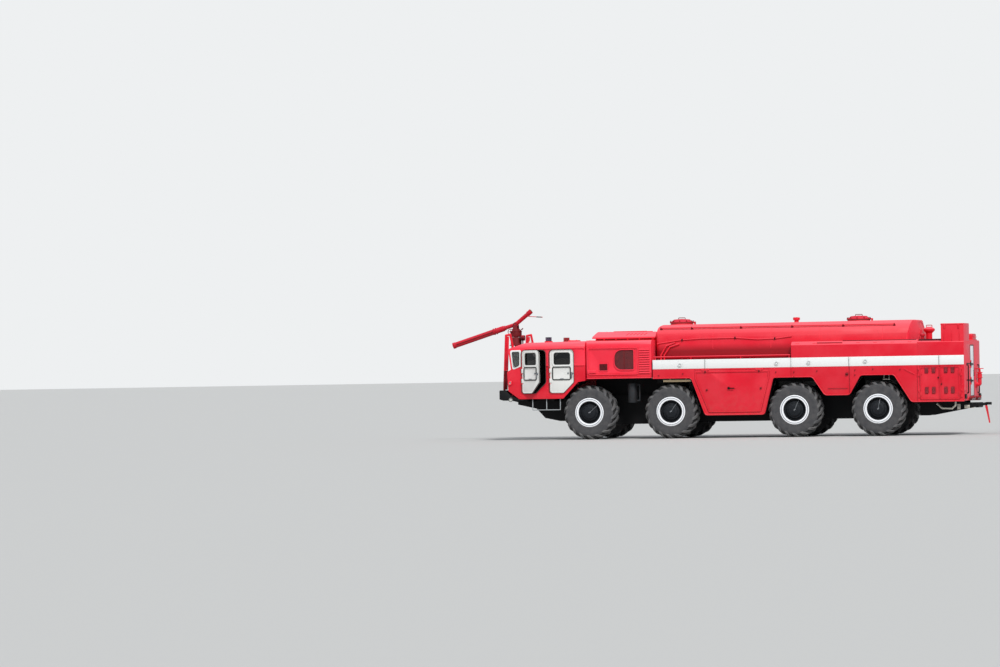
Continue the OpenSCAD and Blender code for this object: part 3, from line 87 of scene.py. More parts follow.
def add(mat, kind, settings=None, **links):
    """Adds a node. settings are its own values, and links go from a socket's name, or i and its number, to a
    value or another socket."""
    node = mat.node_tree.nodes.new("ShaderNode" + kind)
    for name, value in (settings or {}).items():
        setattr(node, name, value)
    for name, value in links.items():
        key = int(name[1:]) if name[0] == "i" and name[1:].isdigit() else name.replace("_", " ")
        socket = node.inputs[key]
        if isinstance(value, bpy.types.NodeSocket):
            mat.node_tree.links.new(value, socket)
        else:
            socket.default_value = value
    return node


def start(name, **values):
    """A new material with its Principled shader, and the object coordinates that its patterns read."""
    mat = bpy.data.materials.new(name)
    mat.use_nodes = True
    shader = mat.node_tree.nodes["Principled BSDF"]
    for key, value in values.items():
        shader.inputs[key.replace("_", " ")].default_value = value
    place = add(mat, "TexCoord").outputs["Object"]
    return mat, shader, place


def plug(mat, source, shader, socket):
    """Feeds a pattern's output into a socket of the shader."""
    mat.node_tree.links.new(source, shader.inputs[socket])


def noise(mat, place, size, detail=4, rough=0.55, stretch=(1, 1, 1)):
    """Noise whose blobs are about size metres wide, stretched along the axes."""
    scaled = add(mat, "Mapping", Vector=place, Scale=tuple(1 / s for s in stretch)).outputs[0]
    return add(mat, "TexNoise", Vector=scaled, Scale=1 / size, Detail=detail, Roughness=rough).outputs[0]


def ramp(mat, source, low, high, to_low=0.0, to_high=1.0):
    """The source's range low to high, spread over to_low to to_high."""
    return add(mat, "MapRange", {"clamp": True}, Value=source, i1=low, i2=high, i3=to_low,
               i4=to_high).outputs[0]


def mix(mat, share, first, second):
    """The two colours mixed by share."""
    return add(mat, "Mix", {"data_type": "RGBA"}, i0=share, i6=first, i7=second).outputs[2]


def reckon(mat, operation, a, b):
    """What a sum, product or the like makes of two values."""
    return add(mat, "Math", {"operation": operation}, i0=a, i1=b).outputs[0]


def times(mat, a, b):
    """The product of two values."""
    return reckon(mat, "MULTIPLY", a, b)


def height_of(mat, place):
    """The third part of a place or a direction."""
    return add(mat, "SeparateXYZ", Vector=place).outputs[2]


def facing_up(mat):
    """1 where a surface faces up, 0 where it is upright, and -1 underneath."""
    return height_of(mat, add(mat, "TexCoord").outputs["Normal"])


def bump(mat, shader, height, strength, distance):
    """Raises the surface by height times distance, in metres."""
    node = add(mat, "Bump", Height=height, Strength=strength, Distance=distance)
    plug(mat, node.outputs[0], shader, "Normal")


def enamel(name, colour, faded_and_lit, dirt="#6B5548", dirt_share=0.5, gloss=0.34, weather=1.0, shade_below=None):
    """Brushed alkyd enamel on sheet steel: full colour, paler on the faces that look up, which is partly
    chalky sun-fading and partly a painted highlight of the light from above, chalky in random patches, runs
    of dirt down the sides, dust low down, and the sheet's slight waves in the reflections.
    The last argument is painted shade: a darker colour below a height, for the shade under a rounded
    underside, and the heights where it starts and ends."""
    mat, shader, place = start(name, Roughness=gloss, IOR=1.48, Specular_IOR_Level=0.36)
    # Faces that look up go paler: partly sun-fading, partly a painted highlight of the light from above.
    top = ramp(mat, facing_up(mat), 0.30, 0.90)
    patches = ramp(mat, noise(mat, place, 0.9, 5, 0.6), 0.38, 0.68)
    fade_and_highlight = times(mat, reckon(mat, "MAXIMUM", top, times(mat, patches, 0.16)), weather)
    base = mix(mat, fade_and_highlight, rgb(colour), rgb(faded_and_lit))
    if shade_below:
        # Darker below a height: painted shade.
        base = mix(mat, ramp(mat, height_of(mat, place), shade_below[1], shade_below[2]), base, rgb(shade_below[0]))
    runs = ramp(mat, noise(mat, place, 0.05, 3, 0.6, (1, 1, 14)), 0.55, 0.80)
    grime = ramp(mat, noise(mat, place, 0.45, 6, 0.7), 0.45, 0.75)
    base = mix(mat, times(mat, times(mat, runs, grime), dirt_share * weather), base, rgb(dirt))
    low = ramp(mat, height_of(mat, place), 1.5, 0.5)
    spatter = ramp(mat, noise(mat, place, 0.12, 8, 0.75), 0.42, 0.72)
    base = mix(mat, times(mat, times(mat, low, spatter), 0.20 * weather), base, rgb("#8A7664"))
    plug(mat, base, shader, "Base Color")
    worn = ramp(mat, patches, 0, 1, gloss, gloss + 0.16)
    plug(mat, reckon(mat, "ADD", worn, times(mat, top, 0.10)), shader, "Roughness")
    bump(mat, shader, noise(mat, place, 0.55, 2, 0.4), 0.30, 0.012)
    return mat


def rubber(name, colour, dust, gloss=0.82):
    """Black filled rubber gone grey in the sun, with dust caught in its hollows."""
    mat, shader, place = start(name, Roughness=gloss, IOR=1.52)
    cloud = ramp(mat, noise(mat, place, 0.16, 6, 0.7), 0.35, 0.75)
    plug(mat, mix(mat, times(mat, cloud, 0.55), rgb(colour), rgb(dust)), shader, "Base Color")
    bump(mat, shader, noise(mat, place, 0.012, 4, 0.7), 0.35, 0.002)
    return mat


def steel(name, colour, shine, rust="#6A4028", rust_share=0.25):
    """Steel with its mill surface worn and a little rust in patches."""
    mat, shader, place = start(name, Roughness=shine, Metallic=0.85)
    spots = ramp(mat, noise(mat, place, 0.10, 7, 0.7), 0.50, 0.68)
    plug(mat, mix(mat, times(mat, spots, rust_share), rgb(colour), rgb(rust)), shader, "Base Color")
    plug(mat, ramp(mat, spots, 0, 1, shine, 0.8), shader, "Roughness")
    bump(mat, shader, noise(mat, place, 0.02, 4, 0.6), 0.25, 0.001)
    return mat


def black_enamel(name, colour="#1B1D21", dust="#4A4540"):
    """Chassis enamel under road dust: near black, brown grey where the dust lies."""
    mat, shader, place = start(name, Roughness=0.65, Specular_IOR_Level=0.25)
    lying = ramp(mat, facing_up(mat), 0.2, 0.95, 0.10, 0.60)
    cloud = ramp(mat, noise(mat, place, 0.22, 7, 0.7), 0.40, 0.72)
    plug(mat, mix(mat, times(mat, cloud, lying), rgb(colour), rgb(dust)), shader, "Base Color")
    bump(mat, shader, noise(mat, place, 0.03, 5, 0.6), 0.25, 0.002)
    return mat


def pane(name, tint, rough=0.03, clear=0.92):
    """Flat toughened glass with a slight tint and a film of dust."""
    mat, shader, place = start(name, IOR=1.52, Transmission_Weight=clear, Roughness=rough)
    film = ramp(mat, noise(mat, place, 0.25, 5, 0.7), 0.45, 0.80, 0, 0.25)
    plug(mat, mix(mat, film, rgb(tint), rgb("#8C8A80")), shader, "Base Color")
    plug(mat, ramp(mat, film, 0, 0.25, rough, 0.22), shader, "Roughness")
    return mat


def leatherette(name, colour):
    """Pressed vinyl over foam, with a fine grain and worn paler on the crown."""
    mat, shader, place = start(name, Roughness=0.55)
    cells = add(mat, "TexVoronoi", Vector=place, Scale=1 / 0.006).outputs["Distance"]
    worn = ramp(mat, noise(mat, place, 0.15, 4, 0.6), 0.4, 0.75, 0, 0.4)
    plug(mat, mix(mat, worn, rgb(colour), rgb("#6E625A")), shader, "Base Color")
    bump(mat, shader, cells, 0.4, 0.001)
    return mat


def plank(name, colour, late):
    """Sawn pine left in the weather: pale, with darker late wood along the board."""
    mat, shader, place = start(name, Roughness=0.75)
    grain = ramp(mat, noise(mat, place, 0.02, 5, 0.6, (22, 1, 1)), 0.35, 0.7)
    plug(mat, mix(mat, grain, rgb(colour), rgb(late)), shader, "Base Color")
    bump(mat, shader, grain, 0.3, 0.002)
    return mat


def wire_mesh(name, wire, hollow, pitch):
    """Woven wire cloth drawn on a solid sheet: the hollows between the wires are painted dark, as painted
    shade of the bay behind them. pitch is coarser than the real 5 mm, so that it shows. A wave texture draws
    about 3.2 bands to the metre at a scale of 1."""
    mat, shader, place = start(name, Roughness=0.7)
    warp, weft = [add(mat, "TexWave", {"bands_direction": way}, Vector=place, Scale=1 / pitch / 3.2,
                      Distortion=0.0).outputs["Fac"] for way in "XZ"]
    wires = ramp(mat, reckon(mat, "MAXIMUM", warp, weft), 0.55, 0.85)
    dust = ramp(mat, noise(mat, place, 0.15, 5, 0.7), 0.4, 0.7, 0.6, 1.0)
    plug(mat, mix(mat, times(mat, wires, dust), rgb(hollow), rgb(wire)), shader, "Base Color")
    bump(mat, shader, wires, 0.6, 0.003)
    return mat


RED = enamel("alkyd_enamel_red", "#D60F28", "#F8606C", dirt="#8A1220", dirt_share=0.45)
# A lighter copy of the red: painted highlight on the faces that catch the light, above the cabs' belt and the
# bay's flange, on the tank's rear end, the rear wall, the weld beads and the trim.
RED_LIT = enamel("alkyd_enamel_red_painted_highlight", "#EE2A40", "#FA6A76", dirt="#A01828", dirt_share=0.35)
# The tank's red darkens below its middle: painted shade on its rounded underside.
RED_TANK = enamel("alkyd_enamel_red_tank", "#D8142C", "#FB6670", dirt="#8A1220", dirt_share=0.45, gloss=0.42,
                  shade_below=("#8E0012", 2.48, 2.30))
RED_DEEP = enamel("alkyd_enamel_deep_red", "#B40A20", "#D83044", dirt="#4A0A12", dirt_share=0.5)
# A dark copy of the red: painted shade, for the turret and the hoops' feet, the cowl between the cabs, what
# stands off the rear wall, and clamps, locks and bars in shadow.
RED_SHADED = enamel("alkyd_enamel_red_painted_shade", "#66070F", "#A81A28", dirt="#30080C", dirt_share=0.6, gloss=0.55)
WHITE = enamel("alkyd_enamel_white", "#E4E6E4", "#EDEEEB", dirt="#A8A399", dirt_share=0.40, gloss=0.36,
               weather=0.8)
DOOR_WHITE = enamel("alkyd_enamel_off_white", "#DCDCD8", "#E8E8E4", dirt="#8F8A80", dirt_share=0.5,
                    gloss=0.38, weather=0.8)
BLACK = black_enamel("chassis_enamel_black", "#08090C", "#211E1B")
TYRE = rubber("tyre_rubber_weathered", "#38383B", "#5E5C5A")
LUG = rubber("tyre_rubber_scuffed", "#4C4C4F", "#86837E")
# Near-black rubber between the lugs: painted shade in the tread's hollows.
TREAD_SHADE = rubber("tyre_rubber_painted_shade_in_gaps", "#131315", "#2C2A28", 0.95)
SEAL = rubber("epdm_seal_rubber", "#2C2E2C", "#50524C", 0.6)
HUB = black_enamel("hub_enamel_blue_black", "#14181D", "#2A2E33")
STEEL = steel("galvanised_steel_worn", "#8C9094", 0.42)
DARK_STEEL = steel("cast_steel_oiled", "#1B1C20", 0.55, rust_share=0.30)
DUSTY_STEEL = steel("cast_steel_dusty", "#E4DFD4", 0.7, rust_share=0.2)
RING_WHITE = enamel("wheel_enamel_white", "#EFF1F4", "#F5F6F7", dirt="#8C8C8C", dirt_share=0.5, gloss=0.4)
# Grey for the groove in the white clamping ring: painted shade.
RING_GROOVE_SHADE = enamel("wheel_ring_painted_groove_shade", "#9CA0A5", "#B0B3B6", dirt="#65666A")
GALVANISED = steel("galvanised_steel_bright", "#B4B8BA", 0.5, rust_share=0.12)
# Dark red for the joints between sheets, and painted shade in the vents, under the vent hoods, and in the
# slot and gaps of the cabinets' roof.
JOINT_AND_SHADE_DARK = enamel("alkyd_enamel_red_joints_and_painted_shade", "#4A0A10", "#6A1018", dirt="#200406")
DRUM_GREY = steel("sheet_steel_grey", "#3A3C3F", 0.6, rust_share=0.2)
BRASS = steel("brass_tarnished", "#8A6A34", 0.45, "#4A4030", 0.5)
# Door glass tinted near black: painted shade of the cab's dark inside seen through it.
GLASS = pane("toughened_glass_painted_shade", "#0B100E")
CAB_GLASS = pane("windscreen_glass_clear", "#B9C4BE")
LENS = pane("lamp_glass_ribbed", "#F1F1EA", 0.12, clear=0.35)
AMBER = pane("lamp_glass_amber", "#E0861C", 0.15)
RED_LENS = pane("lamp_glass_red", "#B51218", 0.15)
BLUE_LENS = pane("beacon_plastic_blue", "#51688F", 0.12)
VINYL = leatherette("vinyl_leatherette_black", "#1E1C1C")
BOARD = plank("sawn_pine_weathered", "#D9C9A6", "#B79A6C")
# Dark red wire cloth whose hollows are painted shade.
MESH = wire_mesh("wire_cloth_dark_red_with_painted_shade", "#7E1019", "#260408", 0.012)


# Mesh helpers, all in metres in the truck's own frame


# Degrees between the points of a rounded corner, and steps in a tube's bend
ARC_STEP = 15
BEND_STEPS = 5


def points_in(geom):
    """The points among the parts that an operation gave back."""
    return [v for v in geom if isinstance(v, bmesh.types.BMVert)]


def rounded(rows):
    """Points of an outline whose rows are (x, y, corner radius)."""
    points = []
    for i, (x, y, radius) in enumerate(rows):
        here = Vector((x, y))
        if radius <= 0:
            points.append(here)
            continue
        back = (Vector(rows[i - 1][:2]) - here).normalized()
        ahead = (Vector(rows[(i + 1) % len(rows)][:2]) - here).normalized()
        half = back.angle(ahead) / 2
        centre = here + (back + ahead).normalized() * radius / math.sin(half)
        first = here + back * radius / math.tan(half) - centre
        turn = math.pi - 2 * half
        if back.cross(ahead) > 0:
            turn = -turn
        count = max(2, math.ceil(abs(math.degrees(turn)) / ARC_STEP))
        points += [centre + Matrix.Rotation(turn * k / count, 2) @ first for k in range(count + 1)]
    return points


def oblong(x0, x1, z0, z1, radius, far_radius=None):
    """The rows of a rectangle for rounded. far_radius is that of its corners at x1."""
    far = radius if far_radius is None else far_radius
    return [(x0, z0, radius), (x1, z0, far), (x1, z1, far), (x0, z1, radius)]


def bevel_edges(bm, edges, width, segments=2):
    """Rounds those edges off."""
    bmesh.ops.bevel(bm, geom=list(edges), offset=width, offset_type="OFFSET", segments=segments, profile=0.5,
                    affect="EDGES", clamp_overlap=True, material=-1)


def sharp_edges(edges, angle):
    """Those of the edges whose two faces meet at more than that many degrees."""
    return [e for e in edges if len(e.link_faces) == 2 and e.calc_face_angle(0) > math.radians(angle)]


def edges_of(verts):
    """Every edge that ends at one of the points."""
    return {e for v in verts for e in v.link_edges}


def edges_within(verts):
    """Every edge whose two ends are among the points."""
    return [e for e in edges_of(verts) if e.verts[0] in verts and e.verts[1] in verts]


def add_box(bm, lo, hi, bevel=0.0):
    """A box between two corners, with its edges rounded."""
    lo, hi = Vector(lo), Vector(hi)
    place = Matrix.Translation((lo + hi) / 2) @ Matrix.Diagonal((*(hi - lo), 1))
    verts = bmesh.ops.create_cube(bm, size=1, matrix=place)["verts"]
    if bevel:
        bevel_edges(bm, edges_of(verts), bevel)


def add_plate(bm, outline, place, thick, bevel=0.0):
    """A plate with that outline, raised by thick along the third axis of place, with its rims rounded."""
    verts = [bm.verts.new(place @ Vector((p[0], p[1], 0))) for p in outline]
    face = bm.faces.new(verts)
    tops = points_in(bmesh.ops.extrude_face_region(bm, geom=[face])["geom"])
    bmesh.ops.translate(bm, verts=tops, vec=place.to_3x3() @ Vector((0, 0, thick)))
    made = {f for v in verts + tops for f in v.link_faces}
    bmesh.ops.recalc_face_normals(bm, faces=list(made))
    if bevel:
        # The rims lie between a side, which has four corners, and a cap, which has more.
        rims = {e for e in edges_of(verts + tops) if len(e.link_faces) == 2
                and len({len(f.verts) for f in e.link_faces} - {4}) and e.calc_face_angle(0) > 0.5}
        bevel_edges(bm, rims, bevel)


def add_ring(bm, outer, inner, place, thick, bevel=0.0):
    """A flat frame between two outlines with the same number of points."""
    rows = []
    for lift in (0, thick):
        for line in (outer, inner):
            rows.append([bm.verts.new(place @ Vector((p[0], p[1], lift))) for p in line])
    count = len(outer)
    faces = []
    for a, b in ((0, 1), (1, 3), (3, 2), (2, 0)):
        for i in range(count):
            k = (i + 1) % count
            faces.append(bm.faces.new((rows[a][i], rows[a][k], rows[b][k], rows[b][i])))
    bmesh.ops.recalc_face_normals(bm, faces=faces)
    if bevel:
        bevel_edges(bm, {e for row in (rows[2], rows[3]) for e in edges_within(row)}, bevel)


def add_lathe(bm, profile, place, steps=32):
    """A turned piece: profile rows are (radius, height) along the third axis of place."""
    line = [bm.verts.new(place @ Vector((r, 0, z))) for r, z in profile]
    edges = [bm.edges.new((line[i], line[i + 1])) for i in range(len(line) - 1)]
    axis = (place.to_3x3() @ Vector((0, 0, 1))).normalized()
    made = bmesh.ops.spin(bm, geom=line + edges, cent=place.translation, axis=axis, angle=math.tau,
                          steps=steps, use_merge=True, use_duplicate=False)
    near = set(points_in(made["geom_last"])) | set(line)
    faces = {f for v in near for f in v.link_faces}
    todo = list(faces)
    while todo:
        for e in todo.pop().edges:
            for f in e.link_faces:
                if f not in faces:
                    faces.add(f)
                    todo.append(f)
    verts = {v for f in faces for v in f.verts}
    bmesh.ops.remove_doubles(bm, verts=list(verts), dist=1e-5)
    bmesh.ops.recalc_face_normals(bm, faces=[f for f in faces if f.is_valid])


def add_rod(bm, a, b, radius, sides=12, end_radius=None):
    """A round bar or cone between two points."""
    a, b = Vector(a), Vector(b)
    turn = (b - a).to_track_quat("Z", "Y").to_matrix().to_4x4()
    bmesh.ops.create_cone(bm, cap_ends=True, segments=sides, radius1=radius,
                          radius2=radius if end_radius is None else end_radius, depth=(b - a).length,
                          matrix=Matrix.Translation((a + b) / 2) @ turn)


def bent(points, radius):
    """A path whose corners are rounded to that radius."""
    points = [Vector(p) for p in points]
    path = [points[0]]
    for before, here, after in zip(points, points[1:], points[2:]):
        back, ahead = before - here, after - here
        reach = min(radius, back.length * 0.45, ahead.length * 0.45)
        first, last = here + back.normalized() * reach, here + ahead.normalized() * reach
        for k in range(BEND_STEPS + 1):
            t = k / BEND_STEPS
            path.append(first * (1 - t) ** 2 + here * 2 * t * (1 - t) + last * t * t)
    return path + [points[-1]]


def staple(foot, other, rise):
    """The corners of a bar that stands on two feet and is raised by rise."""
    foot, other, rise = Vector(foot), Vector(other), Vector(rise)
    return [foot, foot + rise, other + rise, other]


def add_tube(bm, path, radius, sides=10):
    """A tube along a path: a ring is extruded from point to point and turned with it."""
    path = [Vector(p) for p in path]
    ways = [(b - a).normalized() for a, b in zip(path, path[1:])]
    ways = [ways[0]] + [(a + b).normalized() for a, b in zip(ways, ways[1:])] + [ways[-1]]
    turn = ways[0].to_track_quat("Z", "Y").to_matrix().to_4x4()
    ring = bmesh.ops.create_circle(bm, cap_ends=False, segments=sides, radius=radius,
                                   matrix=Matrix.Translation(path[0]) @ turn)["verts"]
    first = list(ring)
    for i in range(1, len(path)):
        ring = points_in(bmesh.ops.extrude_edge_only(bm, edges=edges_within(ring))["geom"])
        bmesh.ops.rotate(bm, verts=ring, cent=path[i - 1],
                         matrix=ways[i - 1].rotation_difference(ways[i]).to_matrix())
        bmesh.ops.translate(bm, verts=ring, vec=path[i] - path[i - 1])
    for row in (first, ring):
        bmesh.ops.contextual_create(bm, geom=edges_within(row))


def washer(inner, outer, low, high):
    """The profile of a flat ring, for add_lathe."""
    return [(inner, low), (outer, low), (outer, high), (inner, high), (inner, low)]


def add_at(bm, place, draw, *values, **named):
    """Draws in another frame: what draw adds is moved by place."""
    before = set(bm.verts)
    draw(bm, *values, **named)
    bmesh.ops.transform(bm, matrix=place, verts=[v for v in bm.verts if v not in before])


def mirror(bm, verts, faces):
    """Moves what is drawn for the left side over to the right."""
    bmesh.ops.scale(bm, vec=(1, -1, 1), verts=verts)
    bmesh.ops.reverse_faces(bm, faces=faces)


def finish(name, bm, material, body, replaces=(), smooth=35, sides="left"):
    """Makes a piece of what is drawn and lets it ride on a body. The drawing is for the left side,
    and sides says whether the piece is its mirror image on the right, or both."""
    if sides == "both":
        copy = bmesh.ops.duplicate(bm, geom=bm.verts[:] + bm.edges[:] + bm.faces[:])["geom"]
        mirror(bm, points_in(copy), [g for g in copy if isinstance(g, bmesh.types.BMFace)])
    if sides == "right":
        mirror(bm, bm.verts[:], bm.faces[:])
    bmesh.ops.translate(bm, verts=bm.verts, vec=TRUCK)
    mesh = bpy.data.meshes.new(name)
    bm.to_mesh(mesh)
    bm.free()
    return keep(name, mesh, material, body, replaces, smooth)


def pair(name, bm, material):
    """Makes one piece on the chassis of what is drawn and its mirror image."""
    return finish(name, bm, material, CHASSIS, sides="both")


def keep(name, mesh, material, body, replaces=(), smooth=35):
    """Adds a mesh that is already in the row's frame as a piece."""
    obj = bpy.data.objects.new(name, mesh)
    bpy.context.scene.collection.objects.link(obj)
    for item in material if isinstance(material, (list, tuple)) else [material]:
        mesh.materials.append(item)
    mesh.shade_smooth()
    mesh.set_sharp_from_angle(angle=math.radians(smooth))
    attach(obj, body)
    if replaces:
        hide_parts(*replaces)
    return obj


def on_side(y):
    """A plane at that y for a drawing in x and z, facing out of the left side."""
    return Matrix(((1, 0, 0, 0), (0, 0, -1, y), (0, 1, 0, 0), (0, 0, 0, 1)))


def on_rear(x):
    """A plane at that x for a drawing in y and z, facing out of the rear."""
    return Matrix(((0, 0, 1, x), (1, 0, 0, 0), (0, 1, 0, 0), (0, 0, 0, 1)))


def on_front(x):
    """A plane at that x for a drawing in y and z, facing out of the front. The drawing's first axis is -y."""
    return Matrix(((0, 0, -1, x), (-1, 0, 0, 0), (0, 1, 0, 0), (0, 0, 0, 1)))


def at(x, y, z):
    """A place in the truck's own frame, with its axes as they are."""
    return Matrix.Translation((x, y, z))


def side_spot(x, z, out=0.0):
    """A place on the left side's sheet, or out from it, facing out."""
    return at(x, -SIDE_Y - out, z) @ on_side(0)


def rear_spot(y, z, out=0.0):
    """A place on the rear wall, or out from it, facing out."""
    return at(REAR_X + out, y, z) @ on_rear(0)


def outline_ring(rows, inset):
    """The outline of rows, and the same outline moved inwards by inset, point for point."""
    outer = rounded(rows)
    middle = sum(outer, Vector((0, 0))) / len(outer)
    inner = []
    for i, here in enumerate(outer):
        way = (outer[(i + 1) % len(outer)] - outer[i - 1]).normalized()
        inwards = Vector((-way.y, way.x))
        if inwards.dot(middle - here) < 0:
            inwards.negate()
        inner.append(here + inwards * inset)
    return (outer, inner) if inset > 0 else (inner, outer)


# Edges of the solids that turn by more degrees than this are rounded off.
CREASE = 32


def softened(node, material, body, width=0.006, cuts=(), shape=None):
    """A merged copy of a CAD node with its edges rounded off, standing for that node. It is split at the
    cuts' heights, and shape may move its points."""
    source = frame["nodes"][node]
    bm = bmesh.new()
    bm.from_mesh(source.data)
    bmesh.ops.remove_doubles(bm, verts=bm.verts, dist=2e-5)
    bmesh.ops.dissolve_limit(bm, angle_limit=math.radians(1.0), verts=bm.verts, edges=bm.edges, delimit=set())
    bevel_edges(bm, sharp_edges(bm.edges, CREASE), width)
    for z in cuts:
        bmesh.ops.bisect_plane(bm, geom=bm.verts[:] + bm.edges[:] + bm.faces[:], dist=1e-6,
                               plane_co=(0, 0, z), plane_no=(0, 0, 1))
    if shape:
        shape(bm)
    mesh = bpy.data.meshes.new(node + "_soft")
    bm.to_mesh(mesh)
    bm.free()
    return keep(node + "_dressed", mesh, material, body, (node,))


def painted(node, materials, pick, body=CHASSIS, width=0.006, cuts=(), shape=None):
    """A softened copy of a node. pick chooses each face's material from its middle and its normal."""
    piece = softened(node, materials, body, width, cuts, shape)
    for face in piece.data.polygons:
        face.material_index = pick(face.center - TRUCK, face.normal)
    return piece


# Camera, floor and light


def camera():
    """The photograph's place and angle: a long lens 104 m to the left, low over the ground."""
    yaw, pitch, roll = -0.25141, 0.01033, -0.01608
    side = Vector((math.cos(yaw), -math.sin(yaw), 0))
    level = Vector((math.sin(yaw), math.cos(yaw), 0))
    ahead = level * math.cos(pitch) + Vector((0, 0, math.sin(pitch)))
    up = Vector((0, 0, math.cos(pitch))) - level * math.sin(pitch)
    right = side * math.cos(roll) + up * math.sin(roll)
    top = up * math.cos(roll) - side * math.sin(roll)
    data = bpy.data.cameras.new("photo_camera")
    data.lens, data.sensor_width = 144.08, 36
    data.clip_end = 2000
    obj = bpy.data.objects.new("photo_camera", data)
    place = Matrix((right, top, -ahead)).transposed().to_4x4()
    place.translation = TRUCK + Vector((20.239, -104.640, 1.750))
    obj.matrix_world = place
    bpy.context.scene.collection.objects.link(obj)
    bpy.context.scene.camera = obj


def sun(name, turn, energy, angle):
    """A far lamp, turned by those degrees, whose disc is angle degrees wide."""
    data = bpy.data.lights.new(name, "SUN")
    data.energy, data.angle = energy, math.radians(angle)
    obj = bpy.data.objects.new(name, data)
    obj.rotation_euler = [math.radians(t) for t in turn]
    bpy.context.scene.collection.objects.link(obj)


def studio():
    """One large soft key from the rear left, a weak fill from the front, and a pale world and floor."""
    bpy.context.scene.view_settings.view_transform = "Standard"
    sun("key", (48, 0, 28), 2.6, 14)
    sun("fill", (62, 0, -55), 0.5, 60)
    air_and_sky()
    pale_floor()


def air_and_sky():
    """A world whose light is soft and a little blue, and which the camera sees as near white."""
    world = bpy.data.worlds.new("studio_air")
    bpy.context.scene.world = world
    world.use_nodes = True
    tree = world.node_tree
    air = tree.nodes["Background"]
    air.inputs["Color"].default_value = rgb("#D5DCE4")
    air.inputs["Strength"].default_value = 0.62
    seen = tree.nodes.new("ShaderNodeBackground")
    seen.inputs["Color"].default_value = rgb("#EEF0F1")
    ray = tree.nodes.new("ShaderNodeLightPath")
    choice = tree.nodes.new("ShaderNodeMixShader")
    tree.links.new(ray.outputs["Is Camera Ray"], choice.inputs[0])
    tree.links.new(air.outputs[0], choice.inputs[1])
    tree.links.new(seen.outputs[0], choice.inputs[2])
    tree.links.new(choice.outputs[0], tree.nodes["World Output"].inputs[0])


def pale_floor():
    """A wide pale floor under the wheels."""
    bm = bmesh.new()
    bmesh.ops.create_circle(bm, cap_ends=True, segments=64, radius=900)
    mesh = bpy.data.meshes.new("studio_floor")
    bm.to_mesh(mesh)
    bm.free()
    floor = bpy.data.objects.new("studio_floor", mesh)
    bpy.context.scene.collection.objects.link(floor)
    mat, shader, place = start("floor_paint_pale_grey", Roughness=0.9)
    shader.inputs["Base Color"].default_value = rgb("#C9C8C5")
    mesh.materials.append(mat)


camera()
studio()


# A plain look for every CAD node, by the first part of its name, and red where none is given. The pieces
# below then stand for most of the nodes.


PLAIN_LOOKS = {
    "tyre": TYRE, "rim": WHITE, "door": DOOR_WHITE, "rear_door": DOOR_WHITE, "knuckle": BLACK,
    "frame_rails": BLACK, "running_gear": BLACK, "engine_block": BLACK, "front_bumper": BLACK,
    "tow_gear": BLACK, "window_frames": WHITE, "side_bands": WHITE, "cab_glass": CAB_GLASS,
    "cab_interior": VINYL, "lamps": LENS, "underbody_fittings": DARK_STEEL,
}

for node, solid in frame["nodes"].items():
    look = next((paint for first, paint in PLAIN_LOOKS.items() if node.startswith(first)), RED)
    solid.data.materials.clear()
    solid.data.materials.append(look)


# Wheels


def wheel_place(name, turn=0.0):
    """A wheel's own frame: the third axis points out of the truck along the spindle."""
    hub = HUBS[name] - TRUCK
    out = -1 if name.endswith("left") else 1
    return Matrix.Translation(hub) @ Matrix(((-out, 0, 0, 0), (0, 0, out, 0), (0, 1, 0, 0), (0, 0, 0, 1))) \
        @ Matrix.Rotation(turn, 4, "Z")


# Lugs in each of a tyre's two rows, radius of their tips, and radius beyond which the casing is tread
LUGS = 18
TIP_R = HUB_Z
GAP_R = 0.625
LUG_LINE = [(TIP_R, 0.012), (TIP_R - 0.001, 0.10), (TIP_R - 0.008, 0.19), (TIP_R - 0.030, 0.250),
            (TIP_R - 0.068, 0.283), (TIP_R - 0.105, 0.2935)]


def along(line, share):
    """The point of a line of (radius, height) rows at that share of its rows."""
    k = min(int(share * (len(line) - 1)), len(line) - 2)
    t = share * (len(line) - 1) - k
    return [a + (b - a) * t for a, b in zip(line[k], line[k + 1])]


def add_lug(bm, turn, mirror):
    """One tread block: it sweeps back from the middle of the tread and wraps down over the shoulder."""
    rise, width, sweep = 0.050, 0.108, math.radians(15)
    grid = bmesh.ops.create_grid(bm, x_segments=1, y_segments=5, size=0.5)["verts"]
    faces = list({f for v in grid for f in v.link_faces})
    tops = points_in(bmesh.ops.extrude_face_region(bm, geom=faces)["geom"])
    for v in grid + tops:
        share, lifted = v.co.y + 0.5, v in tops
        radius, out = along(LUG_LINE, share)
        half = v.co.x * width * (1 - 0.22 * lifted) * (1 + 0.25 * (1 - share))
        drop = 0 if lifted else rise
        lean = max(0.0, share - 0.5) * 1.4
        radius -= drop * (1 - 0.6 * lean)
        out -= drop * lean * 0.9
        angle = turn + half / TIP_R - sweep * share
        v.co = (radius * math.cos(angle), radius * math.sin(angle), out * mirror)
    edges = [e for e in edges_within(tops) if len(e.link_faces) == 2 and e.calc_face_angle(0) > 0.6]
    bevel_edges(bm, edges, 0.006, 1)


